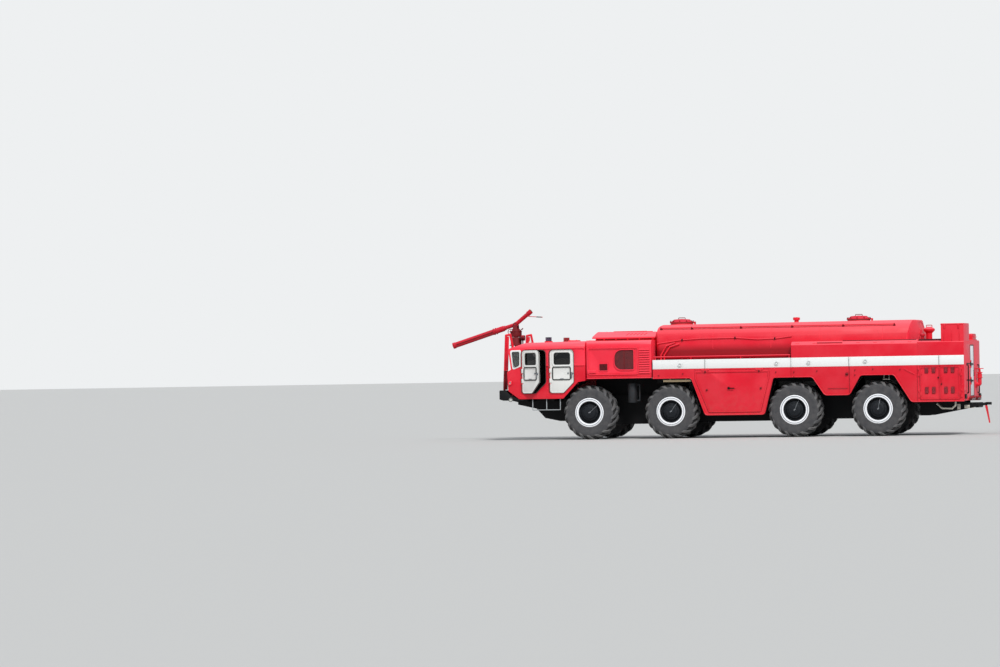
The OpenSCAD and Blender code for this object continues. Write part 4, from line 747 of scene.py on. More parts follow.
def tyre(name, turn):
    """A cross country tyre: rounded casing, sidewall rings and a chevron of tall blocks."""
    bm = bmesh.new()
    half = [(0.322, 0.256), (0.330, 0.266), (0.384, 0.2780), (0.402, 0.2850), (0.410, 0.2900),
            (0.418, 0.2880), (0.470, 0.2935), (0.520, 0.2975), (0.560, 0.2975), (0.600, 0.2890),
            (0.640, 0.2720), (0.668, 0.2400), (TIP_R - 0.050, 0.180), (TIP_R - 0.046, 0.06)]
    profile = half + [(r, -z) for r, z in reversed(half)]
    profile.append(profile[0])
    add_lathe(bm, profile, Matrix(), 72)
    # The casing between the lugs takes the near-black rubber: painted shade in the tread.
    for face in bm.faces:
        face.material_index = 2 if math.hypot(*face.calc_center_median()[:2]) > GAP_R else 0
    casing = set(bm.faces)
    for row in (0, 1):
        for i in range(LUGS):
            add_lug(bm, (i + row / 2) * math.tau / LUGS, 1 - 2 * row)
    for face in set(bm.faces) - casing:
        face.material_index = 1
    bmesh.ops.recalc_face_normals(bm, faces=bm.faces)
    bmesh.ops.transform(bm, matrix=wheel_place(name, turn), verts=bm.verts)
    node = name.replace("wheel", "tyre")
    finish(node + "_tread", bm, [TYRE, LUG, TREAD_SHADE], name, (node,), smooth=38)


def add_bolts(bm, radius, count, height, size, rise, place=Matrix(), turn=0.0):
    """A ring of hexagon bolts round the third axis of place."""
    for i in range(count):
        a = turn + i * math.tau / count
        foot = Vector((radius * math.cos(a), radius * math.sin(a), height))
        add_rod(bm, place @ foot, place @ (foot + Vector((0, 0, rise))), size, 6)


def rim(name, turn):
    """The white clamping ring, and the black hub set back in it with its nuts and its inflation pipe."""
    ring = bmesh.new()
    add_lathe(ring, [(0.298, 0.262), (0.298, 0.276), (0.306, 0.2885), (0.340, 0.2930), (0.3435, 0.2840),
                     (0.3555, 0.2840), (0.359, 0.2940), (0.378, 0.2930), (0.3845, 0.2880), (0.3845, 0.2790),
                     (0.330, 0.262), (0.298, 0.262)], Matrix(), 64)
    # The groove between the ring's two bands is grey: painted shade.
    for face in ring.faces:
        reach = math.hypot(*face.calc_center_median()[:2])
        face.material_index = 1 if 0.3405 < reach < 0.3585 and face.calc_center_median().z > 0.28 else 0
    place = wheel_place(name, turn)
    node = name.replace("wheel", "rim")
    bmesh.ops.transform(ring, matrix=place, verts=ring.verts)
    finish(node + "_ring", ring, [RING_WHITE, RING_GROOVE_SHADE], name, smooth=40)
    hub = bmesh.new()
    add_lathe(hub, [(0, 0.094), (0.062, 0.094), (0.062, 0.02), (0.13, 0.02), (0.288, 0.07), (0.288, -0.258),
                    (0.3215, -0.258), (0.3215, 0.255), (0.3295, 0.2615), (0.299, 0.2615), (0.292, 0.180),
                    (0.286, 0.168), (0.252, 0.166), (0.246, 0.158), (0.226, 0.158), (0.220, 0.214),
                    (0.212, 0.222), (0.178, 0.226), (0.168, 0.232), (0.160, 0.262), (0.150, 0.270),
                    (0.078, 0.276), (0.072, 0.286), (0.030, 0.290), (0, 0.290)], Matrix(), 56)
    add_bolts(hub, 0.269, 20, 0.164, 0.010, 0.016)
    add_bolts(hub, 0.196, 12, 0.222, 0.013, 0.018, turn=0.2)
    add_bolts(hub, 0.118, 8, 0.271, 0.009, 0.010)
    bmesh.ops.transform(hub, matrix=place, verts=hub.verts)
    finish(node + "_hub", hub, HUB, name, (node,))
    pipe = bmesh.new()
    add_tube(pipe, bent([(0.02, 0, 0.289), (0.05, 0.02, 0.294), (0.14, 0.07, 0.286), (0.21, 0.11, 0.236),
                         (0.262, 0.135, 0.20), (0.262, 0.135, 0.168)], 0.03), 0.0055, 8)
    add_box(pipe, (-0.028, -0.014, 0.286), (0.028, 0.014, 0.2945), 0.003)
    bmesh.ops.transform(pipe, matrix=place, verts=pipe.verts)
    finish(node + "_inflation_pipe", pipe, STEEL, name, smooth=40)


# No two wheels are turned alike, and each rim has its own turn in its tyre.
for k, wheel in enumerate(sorted(HUBS)):
    tyre(wheel, 0.31 * k + 0.17 * (k % 3))
    rim(wheel, 0.25 + 0.11 * k)


# Cabs and doors

# Outlines on a door are (x back from its hinge, height, corner radius). DOOR_FACE is how far its skin lies in
# from the hinge.
DOOR_FACE = 0.014
WINDOW = [(0.109, 1.990, 0.05), (0.562, 1.990, 0.05), (0.562, 2.318, 0.07), (0.109, 2.318, 0.07)]
PANEL = oblong(0.061, 0.578, 1.581, 1.949, 0.06)
EDGE = [(0.002, 1.249, 0.07), (0.375, 1.249, 0.05), (0.652, 1.526, 0.05), (0.652, 2.383, 0.095),
        (0.002, 2.383, 0.095)]
OPEN_ANGLE = math.radians(34)


def side_of(name):
    """The side that a node's name gives."""
    return "left" if "left" in name else "right"


def hinge_place(name):
    """Where a hinge stands, as on the left side."""
    joint = next(j for j in frame["joints"] if j["name"] == name)
    pin = Vector(joint["pos_m"]) - TRUCK
    return Matrix.Translation((pin.x, -abs(pin.y), 0))


def turning_handle(bm):
    """A lever handle on a round plate, drawn on its own plane and pointing down."""
    add_lathe(bm, [(0, -0.002), (0.036, -0.002), (0.036, 0.006), (0.020, 0.010), (0.015, 0.036), (0, 0.036)],
              Matrix(), 20)
    add_box(bm, (-0.013, -0.125, 0.026), (0.013, 0.014, 0.042), 0.005)


def cab_door(name, opened=0.0):
    """Pressed white door: raised window surround and rim, rubber seals, a blank panel below the window in its
    own seal, and a lever handle. x runs back from the hinge and y into the cab."""
    place = hinge_place(name) @ Matrix.Rotation(-opened, 4, "Z")
    face = place @ on_side(DOOR_FACE)
    side = side_of(name)
    skin = bmesh.new()
    add_ring(skin, *outline_ring(WINDOW, -0.055), face, 0.012, 0.005)
    add_ring(skin, *outline_ring(EDGE, 0.032), face, 0.005, 0.002)
    finish(name + "_pressings", skin, DOOR_WHITE, name, smooth=40, sides=side)
    seals = bmesh.new()
    add_ring(seals, *outline_ring(WINDOW, 0.018), face, 0.006, 0.002)
    add_ring(seals, *outline_ring(PANEL, 0.032), face, 0.015, 0.006)
    edge = [(max(x, 0.050), z, radius) for x, z, radius in EDGE]
    add_ring(seals, *outline_ring(edge, -0.001), place @ on_side(DOOR_FACE + 0.030), 0.024)
    finish(name + "_seals", seals, SEAL, name, smooth=40, sides=side)
    fittings = bmesh.new()
    add_at(fittings, face @ at(0.604, 1.760, 0), turning_handle)
    add_at(fittings, face @ at(0.330, 1.618, 0.002), add_box, (-0.045, -0.016, 0), (0.045, 0.016, 0.026),
           0.006)
    add_at(fittings, face @ at(0.500, 1.770, 0.002), add_lathe,
           [(0, 0), (0.022, 0), (0.022, 0.010), (0, 0.014)], Matrix(), 16)
    pull = bent(staple((0.10, 0.060, 1.50), (0.10, 0.060, 1.90), (0, 0.035, 0)), 0.02)
    add_tube(fittings, [place @ p for p in pull], 0.010, 8)
    finish(name + "_handles", fittings, STEEL, name, smooth=40, sides=side)


def dress_door(name, opened=0.0):
    """White paint on a cab's door, and glass in its window tinted near black as painted shade of the cab's
    inside.
    """
    back = (hinge_place(name) @ Matrix.Rotation(-opened, 4, "Z")).inverted()
    flip = -1 if side_of(name) == "right" else 1

    def paint(middle, normal):
        """Glass where the window's pane faces in or out, white elsewhere."""
        here = back @ Vector((middle.x, middle.y * flip, middle.z))
        facing = abs((back.to_3x3() @ Vector((normal.x, normal.y * flip, normal.z))).y) > 0.5
        inside = 0.0285 < here.y < 0.0395 and 0.1 < here.x < 0.57 and 1.98 < here.z < 2.33
        return 1 if facing and inside else 0

    painted(name, [DOOR_WHITE, GLASS], paint, name, 0.003)


for door in ("door_front_left", "door_rear_left", "door_front_right", "door_rear_right"):
    opened = OPEN_ANGLE if door == "door_front_left" else 0.0
    cab_door(door, opened)
    dress_door(door, opened)


# Painted shells: what a face is painted follows from its middle and its normal

BELT_Z = 1.975  # the cabs' belt
FLANGE_Z = 1.745  # the rolled flange at the foot of the engine bay's side
# Below HOOP_Z the hoops and their plates are in painted shade.
HOOP_Z = 1.86  # where the hoops turn from red to dark
LIGHT_Y, LIGHT_Z = -0.12, 2.735  # the searchlight's middle

def cab_paint(middle, normal):
    """Red outside with a painted highlight above the belt, black under the floor, in the wheel house and
    inside, and painted shade on the jambs of the door openings.
    """
    x, y, z = middle.x, abs(middle.y), middle.z
    inwards = normal.dot(Vector((-5.0, math.copysign(1.0125, middle.y), 1.85)) - middle) > 0
    lined = inwards and -6.02 < x < -3.99 and 0.55 < y < 1.484 and 1.13 < z < 2.57
    # The door openings' jambs and recess are black: painted shade.
    doorway_shade = -5.70 < x < -4.22 and y < 1.505 and 1.20 < z < 2.42
    arch = math.hypot(x - AXLES[0], z - HUB_Z) < 0.87 and y < 1.50
    if lined or doorway_shade or arch or z < 1.10:
        return 2
    return 1 if z > BELT_Z else 0


def bay_paint(middle, _):
    """Red outside with a painted highlight above the flange, black inside; the cowl between the cabs is in
    painted shade.
    """
    x, y, z = middle.x, abs(middle.y), middle.z
    if x < -3.90:
        return 3
    if z < 2.55 and y < 1.49 and -3.88 < x < -2.16:
        return 2
    return 1 if z > FLANGE_Z else 0


BOW_X = 4.55  # where the sides begin to draw in
BOW_CUTS = (0.5, 0.6, 0.7, 0.8, 0.9, 1.0, 1.1)  # the end is flat up to the first


def bow(x, y):
    """Where the bowed rear end of the tank puts a point that the flat end has at x, y."""
    share = min(1.0, max(0.0, (abs(y) - BOW_CUTS[0]) / 0.7)) ** 1.5
    return BOW_X + (x - BOW_X) * (1 - 0.80 * share)


def bowed_end(bm):
    """The dished end of the tank: its flat rear end is cut upright and its sides are drawn forward."""
    planes = [((TRUCK.x + BOW_X, 0, 0), (1, 0, 0))]
    planes += [((0, TRUCK.y + side * y, 0), (0, 1, 0)) for y in BOW_CUTS for side in (-1, 1)]
    for place, way in planes:
        faces = [f for f in bm.faces if f.calc_center_median().x > TRUCK.x + 3.6]
        parts = faces + list({e for f in faces for e in f.edges}) + list({v for f in faces for v in f.verts})
        bmesh.ops.bisect_plane(bm, geom=parts, dist=1e-6, plane_co=place, plane_no=way)
    for vert in bm.verts:
        here = vert.co - TRUCK
        if here.x > BOW_X and here.z > 1.87:
            vert.co.x = TRUCK.x + bow(here.x, here.y)


def tank_paint(middle, normal):
    """The cradles and the underside between the cabinets are chassis black; the rear end takes a painted
    highlight.
    """
    if middle.z < 1.93 and abs(middle.y) < 0.95:
        return 1
    return 2 if normal.x > 0.3 and middle.x > BOW_X else 0


def body_paint(middle, normal):
    """Red where sides, roof and ends show, black underneath and towards the frame; the rear wall takes a
    painted highlight, and what stands off it painted shade.
    """
    x, y, z = middle.x, abs(middle.y), middle.z
    if x > REAR_X + 0.02:
        return 2
    if x > REAR_X - 0.01 and normal.x > 0.9:
        return 3
    return 0 if y > 1.49 or z > 1.83 or x > REAR_X - 0.004 else 1


BEACON_FOOT = span("lamps")[1].z - 0.1045


def lamp_paint(middle, _):
    """Clear lamps in front and on the sides, a blue beacon on the left roof and a red one on the right."""
    if middle.z < 2.5:
        return 0
    if middle.z < BEACON_FOOT:
        return 3
    return 1 if middle.y < 0 else 2


def fitting_paint(middle, _):
    """The step's light frame, the grey drum, the board, and the dusty pipe at the rear."""
    x, z = middle.x, middle.z
    if x < -4:
        return 0
    if x > 5:
        return 3
    return 2 if z > 1.488 else 1


def frame_paint(middle, normal):
    """The monitor's stand: hoops red above and in painted shade below, the pedestal in painted shade, the
    searchlight's lens clear.
    """
    if normal.x < -0.9 and math.hypot(middle.y - LIGHT_Y, middle.z - LIGHT_Z) < 0.07 and middle.x > -6.05:
        return 2
    return 0 if abs(middle.y) > 0.9 and middle.z > HOOP_Z else 1


MID_DOORS = ("locker_mid_left", "locker_mid_right")
LEAVES = ("locker_rear_left_a", "locker_rear_left_b", "locker_rear_right_a", "locker_rear_right_b")

# The lighter copy of the red is painted highlight, and the dark copy painted shade.
for cab in ("cab_left", "cab_right"):
    painted(cab, [RED, RED_LIT, BLACK], cab_paint, cuts=(BELT_Z,))
painted("engine_bay", [RED, RED_LIT, BLACK, RED_SHADED], bay_paint, cuts=(FLANGE_Z,))
painted("tank", [RED_TANK, BLACK, RED_LIT], tank_paint, width=0.008, shape=bowed_end)
painted("body_front", [RED, BLACK], body_paint, width=0.008)
painted("body_rear", [RED, BLACK, RED_SHADED, RED_LIT], body_paint, width=0.008)
painted("lamps", [LENS, BLUE_LENS, RED_LENS, RED], lamp_paint, width=0.004)
painted("underbody_fittings", [GALVANISED, DRUM_GREY, BOARD, DUSTY_STEEL], fitting_paint,
        width=0.004)
painted("monitor_frame", [RED, RED_SHADED, LENS], frame_paint, width=0.003, cuts=(HOOP_Z,))
softened("front_bumper", [BLACK], CHASSIS, 0.008)
softened("window_frames", [WHITE], CHASSIS, 0.004)
# The turret is in the dark copy of the red: painted shade.
softened("monitor_turret", [RED_SHADED], "monitor_turret", 0.005)
softened("monitor_barrel", [RED_DEEP], "monitor_barrel", 0.003)
softened("side_bands", [WHITE], CHASSIS, 0.002)


def leaf_paint(middle, normal):
    """Red, with the pull handle in dark steel and painted shade on the bottoms of the vents."""
    if abs(middle.y) > SIDE_Y + 0.004 and 1.36 < middle.z < 1.56:
        return 1
    return 2 if abs(abs(middle.y) - SIDE_Y + 0.008) < 0.001 and abs(normal.y) > 0.9 else 0


for node in MID_DOORS:
    painted(node, [RED, STEEL], lambda p, n: 1 if abs(p.y) > SIDE_Y + 0.004 and p.z < 1.5 else 0, node,
            width=0.005)
for node in LEAVES:
    painted(node, [RED, DARK_STEEL, JOINT_AND_SHADE_DARK], leaf_paint, node, width=0.003)
painted("rear_door", [RING_WHITE, DARK_STEEL], lambda p, n: 1 if p.x > REAR_X + 0.004 else 0, "rear_door",
        width=0.006)
for node in ("hatch_front", "hatch_rear"):
    softened(node, [RED_DEEP], node, 0.006)


# Cab details


def bolt_row(bm, start, end, count, size=0.008, out=(0, -1, 0), rise=0.005):
    """Round heads in a row between two points."""
    start, end, out = Vector(start), Vector(end), Vector(out)
    for i in range(count):
        here = start.lerp(end, i / max(1, count - 1))
        add_rod(bm, here - out * 0.002, here + out * rise, size, 8, size * 0.55)


QUARTER = [(-5.928, 2.352, 0.025), (-5.722, 2.355, 0.025), (-5.728, 1.992, 0.025), (-5.882, 1.933, 0.025)]
DOOR_FRONTS = (-5.669, -4.906)
DOOR_HOLE = [(0.0, 1.247, 0.07), (0.379, 1.247, 0.05), (0.661, 1.529, 0.05), (0.661, 2.385, 0.095),
             (0.0, 2.385, 0.095)]


def cab_rubbers():
    """The seals round each cab's quarter window and its two door openings."""
    bm = bmesh.new()
    add_ring(bm, outline_ring(QUARTER, 0)[1], outline_ring(QUARTER, 0.010)[1], on_side(-SIDE_Y - 0.001),
             0.008, 0.002)
    for x in DOOR_FRONTS:
        hole = [(x + a, z, r) for a, z, r in DOOR_HOLE]
        add_ring(bm, *outline_ring(hole, -0.014), on_side(-SIDE_Y), 0.007, 0.002)
    pair("cab_rubbers", bm, SEAL)


def cab_trim():
    """Gutters over the doors, the pressed crease at the belt, a hatch on each roof, and bolted lamp rims."""
    bm = bmesh.new()
    add_tube(bm, bent([(-5.60, -SIDE_Y + 0.004, 2.412), (-5.52, -SIDE_Y - 0.006, 2.425),
                       (-3.975, -SIDE_Y - 0.006, 2.437), (-3.955, -SIDE_Y + 0.004, 2.40)], 0.03), 0.009, 8)
    for x0, x1 in ((-4.995, -4.920), (-4.230, -3.950)):
        add_box(bm, (x0, -SIDE_Y - 0.005, 1.966), (x1, -SIDE_Y + 0.004, 1.984), 0.004)
    add_box(bm, (-4.46, -1.20, 2.598), (-4.20, -0.86, 2.640), 0.016)
    add_box(bm, (-4.475, -1.215, 2.594), (-4.185, -0.845, 2.612), 0.006)
    for x in (-4.42, -4.24):
        add_rod(bm, (x, -1.17, 2.625), (x, -1.17, 2.648), 0.012, 8)
    rim = [(0.034, 0), (0.058, 0), (0.058, 0.024), (0.044, 0.032), (0.040, 0.026), (0.034, 0.026), (0.034, 0)]
    add_lathe(bm, rim, side_spot(-5.985, 1.530), 28)
    for x in (-4.960, -4.130):
        bolt_row(bm, (x, -SIDE_Y, 1.36), (x, -SIDE_Y, 2.32), 9, 0.007)
    bolt_row(bm, (-5.93, -SIDE_Y, 1.20), (-5.70, -SIDE_Y, 1.20), 4, 0.007)
    # The trim takes the lighter copy of the red: painted highlight.
    pair("cab_trim", bm, RED_LIT)


def marker_rims():
    """A rubber rim round the marker lamp on each side of the front."""
    bm = bmesh.new()
    add_lathe(bm, [(0.048, 0), (0.060, 0), (0.060, 0.016), (0.054, 0.022), (0.048, 0.019), (0.048, 0)],
              side_spot(-5.973, 1.085), 28)
    pair("marker_lamp_rims", bm, SEAL)


def roof_lamps():
    """A small clear lamp on each cab's roof."""
    bm = bmesh.new()
    add_lathe(bm, [(0, 0), (0.034, 0), (0.034, 0.012), (0.028, 0.030), (0.014, 0.042), (0, 0.045)],
              at(-5.545, -1.05, 2.590), 20)
    pair("roof_marker_lamps", bm, LENS)


def screen_x(z):
    """The windscreen's outer face: its top leans forward."""
    return -5.962 - 0.1296 * (z - 1.885)


def wipers():
    """Two wipers to each windscreen, hung from the rail over it."""
    bm = bmesh.new()
    for y in (-1.28, -0.86):
        top = Vector((screen_x(2.40) - 0.014, y, 2.395))
        foot = Vector((screen_x(2.12) - 0.016, y + 0.13, 2.12))
        add_rod(bm, top + Vector((0.02, 0, 0)), top + Vector((-0.016, 0, 0)), 0.016, 12)
        add_rod(bm, top + Vector((-0.010, 0, 0)), foot + Vector((-0.012, 0, 0)), 0.006, 8, 0.004)
        add_rod(bm, foot + Vector((-0.004, -0.015, 0.16)), foot + Vector((-0.004, 0.015, -0.13)), 0.006, 6)
    pair("windscreen_wipers", bm, DARK_STEEL)


def headlight_rims():
    """A bright rim with four screws round each headlight."""
    bm = bmesh.new()
    middle_y, middle_z = -1.195, 1.210
    rim = [(0.080, 0.010), (0.100, 0), (0.112, 0), (0.112, 0.012), (0.100, 0.020), (0.086, 0.018),
           (0.080, 0.010)]
    add_lathe(bm, rim, at(-6.288, middle_y, middle_z) @ on_front(0), 32)
    for degrees in (45, 135, 225, 315):
        turn = math.radians(degrees)
        y, z = middle_y + 0.106 * math.cos(turn), middle_z + 0.106 * math.sin(turn)
        add_rod(bm, (-6.286, y, z), (-6.3095, y, z), 0.007, 8)
    pair("headlight_rims", bm, GALVANISED)


cab_rubbers()
cab_trim()
marker_rims()
roof_lamps()
wipers()
headlight_rims()


# Engine bay details

LOUVRES = 11
BAY_LOUVRES = [1.715 + (i + 0.5) * 0.67 / LOUVRES for i in range(LOUVRES)]


def bay_pressings():
    """Hooded louvres, the rims of the two openings, the bulge, the rolled flange and rows of rivets."""
    bm = bmesh.new()
    for z in BAY_LOUVRES:
        hood = [(-SIDE_Y + 0.003, z + 0.018), (-SIDE_Y - 0.009, z - 0.006), (-SIDE_Y - 0.009, z - 0.010),
                (-SIDE_Y + 0.003, z - 0.016)]
        add_plate(bm, [Vector(p) for p in hood], on_rear(-2.468), 0.286)
    intake = oblong(-3.135, -2.620, 1.838, 2.352, 0.19, 0.03)
    add_ring(bm, *outline_ring(intake, -0.022), on_side(-SIDE_Y + 0.010), 0.008, 0.003)
    small = oblong(-3.545, -3.328, 1.820, 1.992, 0.015)
    add_ring(bm, *outline_ring(small, -0.014), on_side(-SIDE_Y + 0.010), 0.006, 0.002)
    add_box(bm, (-3.862, -SIDE_Y - 0.012, 1.752), (-3.640, -SIDE_Y + 0.012, 1.832), 0.010)
    add_tube(bm, [(-3.890, -SIDE_Y, 1.612), (-2.150, -SIDE_Y, 1.612)], 0.010, 8)
    panel = oblong(-3.825, -2.510, 1.725, 2.400, 0.03)
    add_ring(bm, *outline_ring(panel, -0.020), on_side(-SIDE_Y + 0.001), 0.007, 0.003)
    bolt_row(bm, (-3.86, -SIDE_Y, 1.66), (-2.20, -SIDE_Y, 1.66), 16, 0.007)
    bolt_row(bm, (-3.86, -SIDE_Y, 2.44), (-2.20, -SIDE_Y, 2.44), 16, 0.007)
    # The pressings take the lighter copy of the red: painted highlight.
    pair("bay_pressings", bm, RED_LIT)


def bay_gauzes():
    """Painted wire cloth in the intake and the small square opening, with their stiffening bars."""
    bm = bmesh.new()
    for rows in (oblong(-3.134, -2.621, 1.839, 2.351, 0.189, 0.029),
                 oblong(-3.544, -3.329, 1.821, 1.991, 0.014)):
        add_plate(bm, rounded(rows), on_side(-SIDE_Y + 0.034), 0.006)
    pair("bay_gauzes", bm, MESH)
    bars = bmesh.new()
    add_box(bars, (-2.885, -SIDE_Y + 0.020, 1.845), (-2.865, -SIDE_Y + 0.034, 2.345), 0.003)
    for z in (1.85, 1.88, 1.91, 1.94, 1.97):
        add_box(bars, (-3.540, -SIDE_Y + 0.014, z - 0.004), (-3.333, -SIDE_Y + 0.030, z + 0.004), 0.002)
    pair("bay_gauze_bars", bars, RED_SHADED)


def hump_eaves():
    """The openings under the hump's eave, drawn as dark strips of painted shade, the hump's bolts, and the
    ribs and bolts on its top.
    """
    bm = bmesh.new()
    for x0, x1 in ((-3.80, -3.62), (-3.58, -3.30), (-3.26, -2.98), (-2.94, -2.66), (-2.62, -2.30)):
        add_box(bm, (x0, -0.6835, 2.628), (x1, -0.676, 2.656), 0.003)
    pair("hump_eave_painted_shade", bm, RED_SHADED)
    bolts = bmesh.new()
    bolt_row(bolts, (-3.85, -0.750, 2.686), (-2.24, -0.750, 2.686), 13, 0.008)
    add_box(bolts, (-3.40, -0.40, 2.845), (-2.50, -0.34, 2.862), 0.006)
    bolt_row(bolts, (-3.80, -0.30, 2.85), (-2.30, -0.30, 2.85), 9, 0.009, (0, 0, 1), 0.007)
    pair("hump_fasteners", bolts, RED)


bay_pressings()
bay_gauzes()
hump_eaves()


# Tank details

HATCHES = {"hatch_front": -1.620, "hatch_rear": 3.146}
SHOULDER_Y, SHOULDER_Z, SHOULDER_R = -0.72, 2.54, 0.4805  # the round of the tank's left shoulder
VENT_X, FILLER_X = 1.478, 5.004


def hatch_clamps(node, x):
    """Swing bolts round a tank hatch, its lifting handle and the rubber gasket under it."""
    lo, hi = span(node)
    clamps = bmesh.new()
    for i in range(10):
        a = math.radians(36 * i + 18)
        place = at(x, 0, lo.z) @ Matrix.Rotation(a, 4, "Z")
        add_at(clamps, place, add_box, (0.286, -0.018, 0.024), (0.3215, 0.018, 0.036), 0.004)
        add_rod(clamps, place @ Vector((0.303, 0, 0.030)), place @ Vector((0.303, 0, 0.058)), 0.012, 6)
    foot = hi.z - 0.012
    add_tube(clamps, bent(staple((x - 0.09, 0, foot), (x + 0.09, 0, foot), (0, 0, 0.040)), 0.02), 0.009, 8)
    finish(node + "_clamps", clamps, RED_SHADED, node)
    gasket = bmesh.new()
    add_lathe(gasket, washer(0.285, 0.318, -0.012, 0.001), at(x, 0, lo.z), 48)
    finish(node + "_gasket", gasket, SEAL, node)


def rail_clamps():
    """Dark clamps where the long rail meets its brackets, and the clips that hold the hose to the tank."""
    bm = bmesh.new()
    for x in (-1.960, -1.130, 0.187, 1.551, 2.905, 4.252):
        place = at(x, SHOULDER_Y, SHOULDER_Z) @ Matrix.Rotation(math.radians(-45), 4, "X")
        add_at(bm, place, add_box, (-0.013, -0.550, -0.020), (0.013, -0.510, 0.020), 0.005)
        add_at(bm, place, add_box, (-0.016, -0.512, -0.012), (0.016, -0.480, 0.012), 0.004)
        add_at(bm, place, add_box, (-0.030, -0.488, -0.024), (0.030, -0.479, 0.024), 0.003)
    pair("tank_rail_clamps", bm, RED_SHADED)
    clips = bmesh.new()
    for x, z in ((-1.370, 2.591), (0.050, 2.625), (1.110, 2.589)):
        add_box(clips, (x - 0.016, -1.236, z - 0.030), (x + 0.016, -1.199, z + 0.030), 0.006)
    finish("hose_clips", clips, DARK_STEEL, CHASSIS)


def tank_seams():
    """Weld beads over the tank's shoulders, and one in an arch on its rear end."""
    bm = bmesh.new()
    for x in (-0.55, 1.00, 2.30, 3.95):
        arc = [(x, SHOULDER_Y - SHOULDER_R, 2.35), (x, SHOULDER_Y - SHOULDER_R, SHOULDER_Z)]
        arc += [(x, SHOULDER_Y - SHOULDER_R * math.cos(math.radians(a)),
                 SHOULDER_Z + SHOULDER_R * math.sin(math.radians(a))) for a in range(10, 80, 10)]
        add_tube(bm, arc, 0.005, 6)
    arch = []
    for a in range(0, 181, 12):
        y, z = 0.62 * math.cos(math.radians(a)), 2.42 + 0.565 * math.sin(math.radians(a))
        flat = 4.86 - 0.02 * (z - 1.88) / 0.81 if z < 2.69 else 4.84 - 0.09 * (z - 2.69) / 0.33
        arch.append((bow(flat, y) + 0.001, y, z))
    add_tube(bm, arch, 0.007, 6)
    # The weld beads take the lighter copy of the red: painted highlight.
    pair("tank_weld_beads", bm, RED_LIT)


def roof_valves():
    """Bolts and lever of the vent valve; bolts, ring and handle of the filler; the small vent."""
    bm = bmesh.new()
    add_bolts(bm, 0.078, 8, 3.072, 0.008, 0.012, at(VENT_X, 0, 0))
    add_rod(bm, (VENT_X, 0, 3.110), (VENT_X, 0, 3.150), 0.014, 10)
    add_rod(bm, (1.40, -0.03, 3.140), (1.53, 0.02, 3.140), 0.008, 8)
    add_bolts(bm, 0.098, 8, 2.470, 0.010, 0.014, at(FILLER_X, 0, 0))
    add_lathe(bm, washer(0.080, 0.118, 0, 0.012), at(FILLER_X, 0, 2.4605), 32)
    add_tube(bm, bent(staple((4.93, 0, 2.83), (5.08, 0, 2.83), (0, 0, 0.045)), 0.02), 0.010, 8)
    vent = [(0, 0), (0.070, 0), (0.070, 0.014), (0.036, 0.018), (0.036, 0.120), (0.062, 0.125),
            (0.066, 0.160), (0.048, 0.188), (0, 0.200)]
    add_lathe(bm, vent, at(4.975, -1.0, 2.460), 28)
    finish("roof_valves", bm, RED_DEEP, CHASSIS)


for node, x in HATCHES.items():
    hatch_clamps(node, x)
rail_clamps()
tank_seams()
roof_valves()


# Body sides

BAND_RISE = 0.006  # how far the white band stands off the sheet
SPLIT_X = (1.5865, 1.5905)  # the gap between the front and the rear body
SKIRT_LINES = (
    [(-2.108, 1.588, 0), (-1.075, 1.588, 0.07), (-0.712, 0.609, 0.03), (0.861, 0.609, 0.03),
     (1.105, 1.570, 0.07), (1.588, 1.570, 0)],
    [(1.592, 1.570, 0), (2.145, 1.570, 0.07), (2.469, 1.088, 0.03), (3.114, 1.088, 0.03),
     (3.410, 1.598, 0.07), (4.286, 1.598, 0.07), (4.733, 0.884, 0.03), (6.105, 0.884, 0)],
)


def skirt_lips():
    """The rolled lip along the foot of each side and round its wheel arches."""
    bm = bmesh.new()
    for line in SKIRT_LINES:
        add_tube(bm, bent([(x, -SIDE_Y + 0.001, z) for x, z, r in line], 0.07), 0.009, 8)
        add_tube(bm, bent([(x, -SIDE_Y + 0.030, z - 0.001) for x, z, r in line], 0.07), 0.011, 6)
    pair("skirt_lips", bm, RED)


def ring_handle(bm, plates, x, z):
    """A folding ring on a round plate that is let into the band."""
    place = side_spot(x, z, BAND_RISE)
    add_lathe(plates, [(0, 0), (0.056, 0), (0.056, 0.004), (0.050, 0.006), (0.044, 0.002), (0, 0.002)], place,
              24)
    ring = [place @ Vector((0.030 * math.cos(a), 0.030 * math.sin(a) - 0.006, 0.010))
            for a in [math.radians(100 + 20 * k) for k in range(17)]]
    add_tube(bm, ring, 0.005, 6)
    add_box(bm, (x - 0.014, -SIDE_Y - 0.020, z + 0.016), (x + 0.014, -SIDE_Y - BAND_RISE, z + 0.030), 0.003)


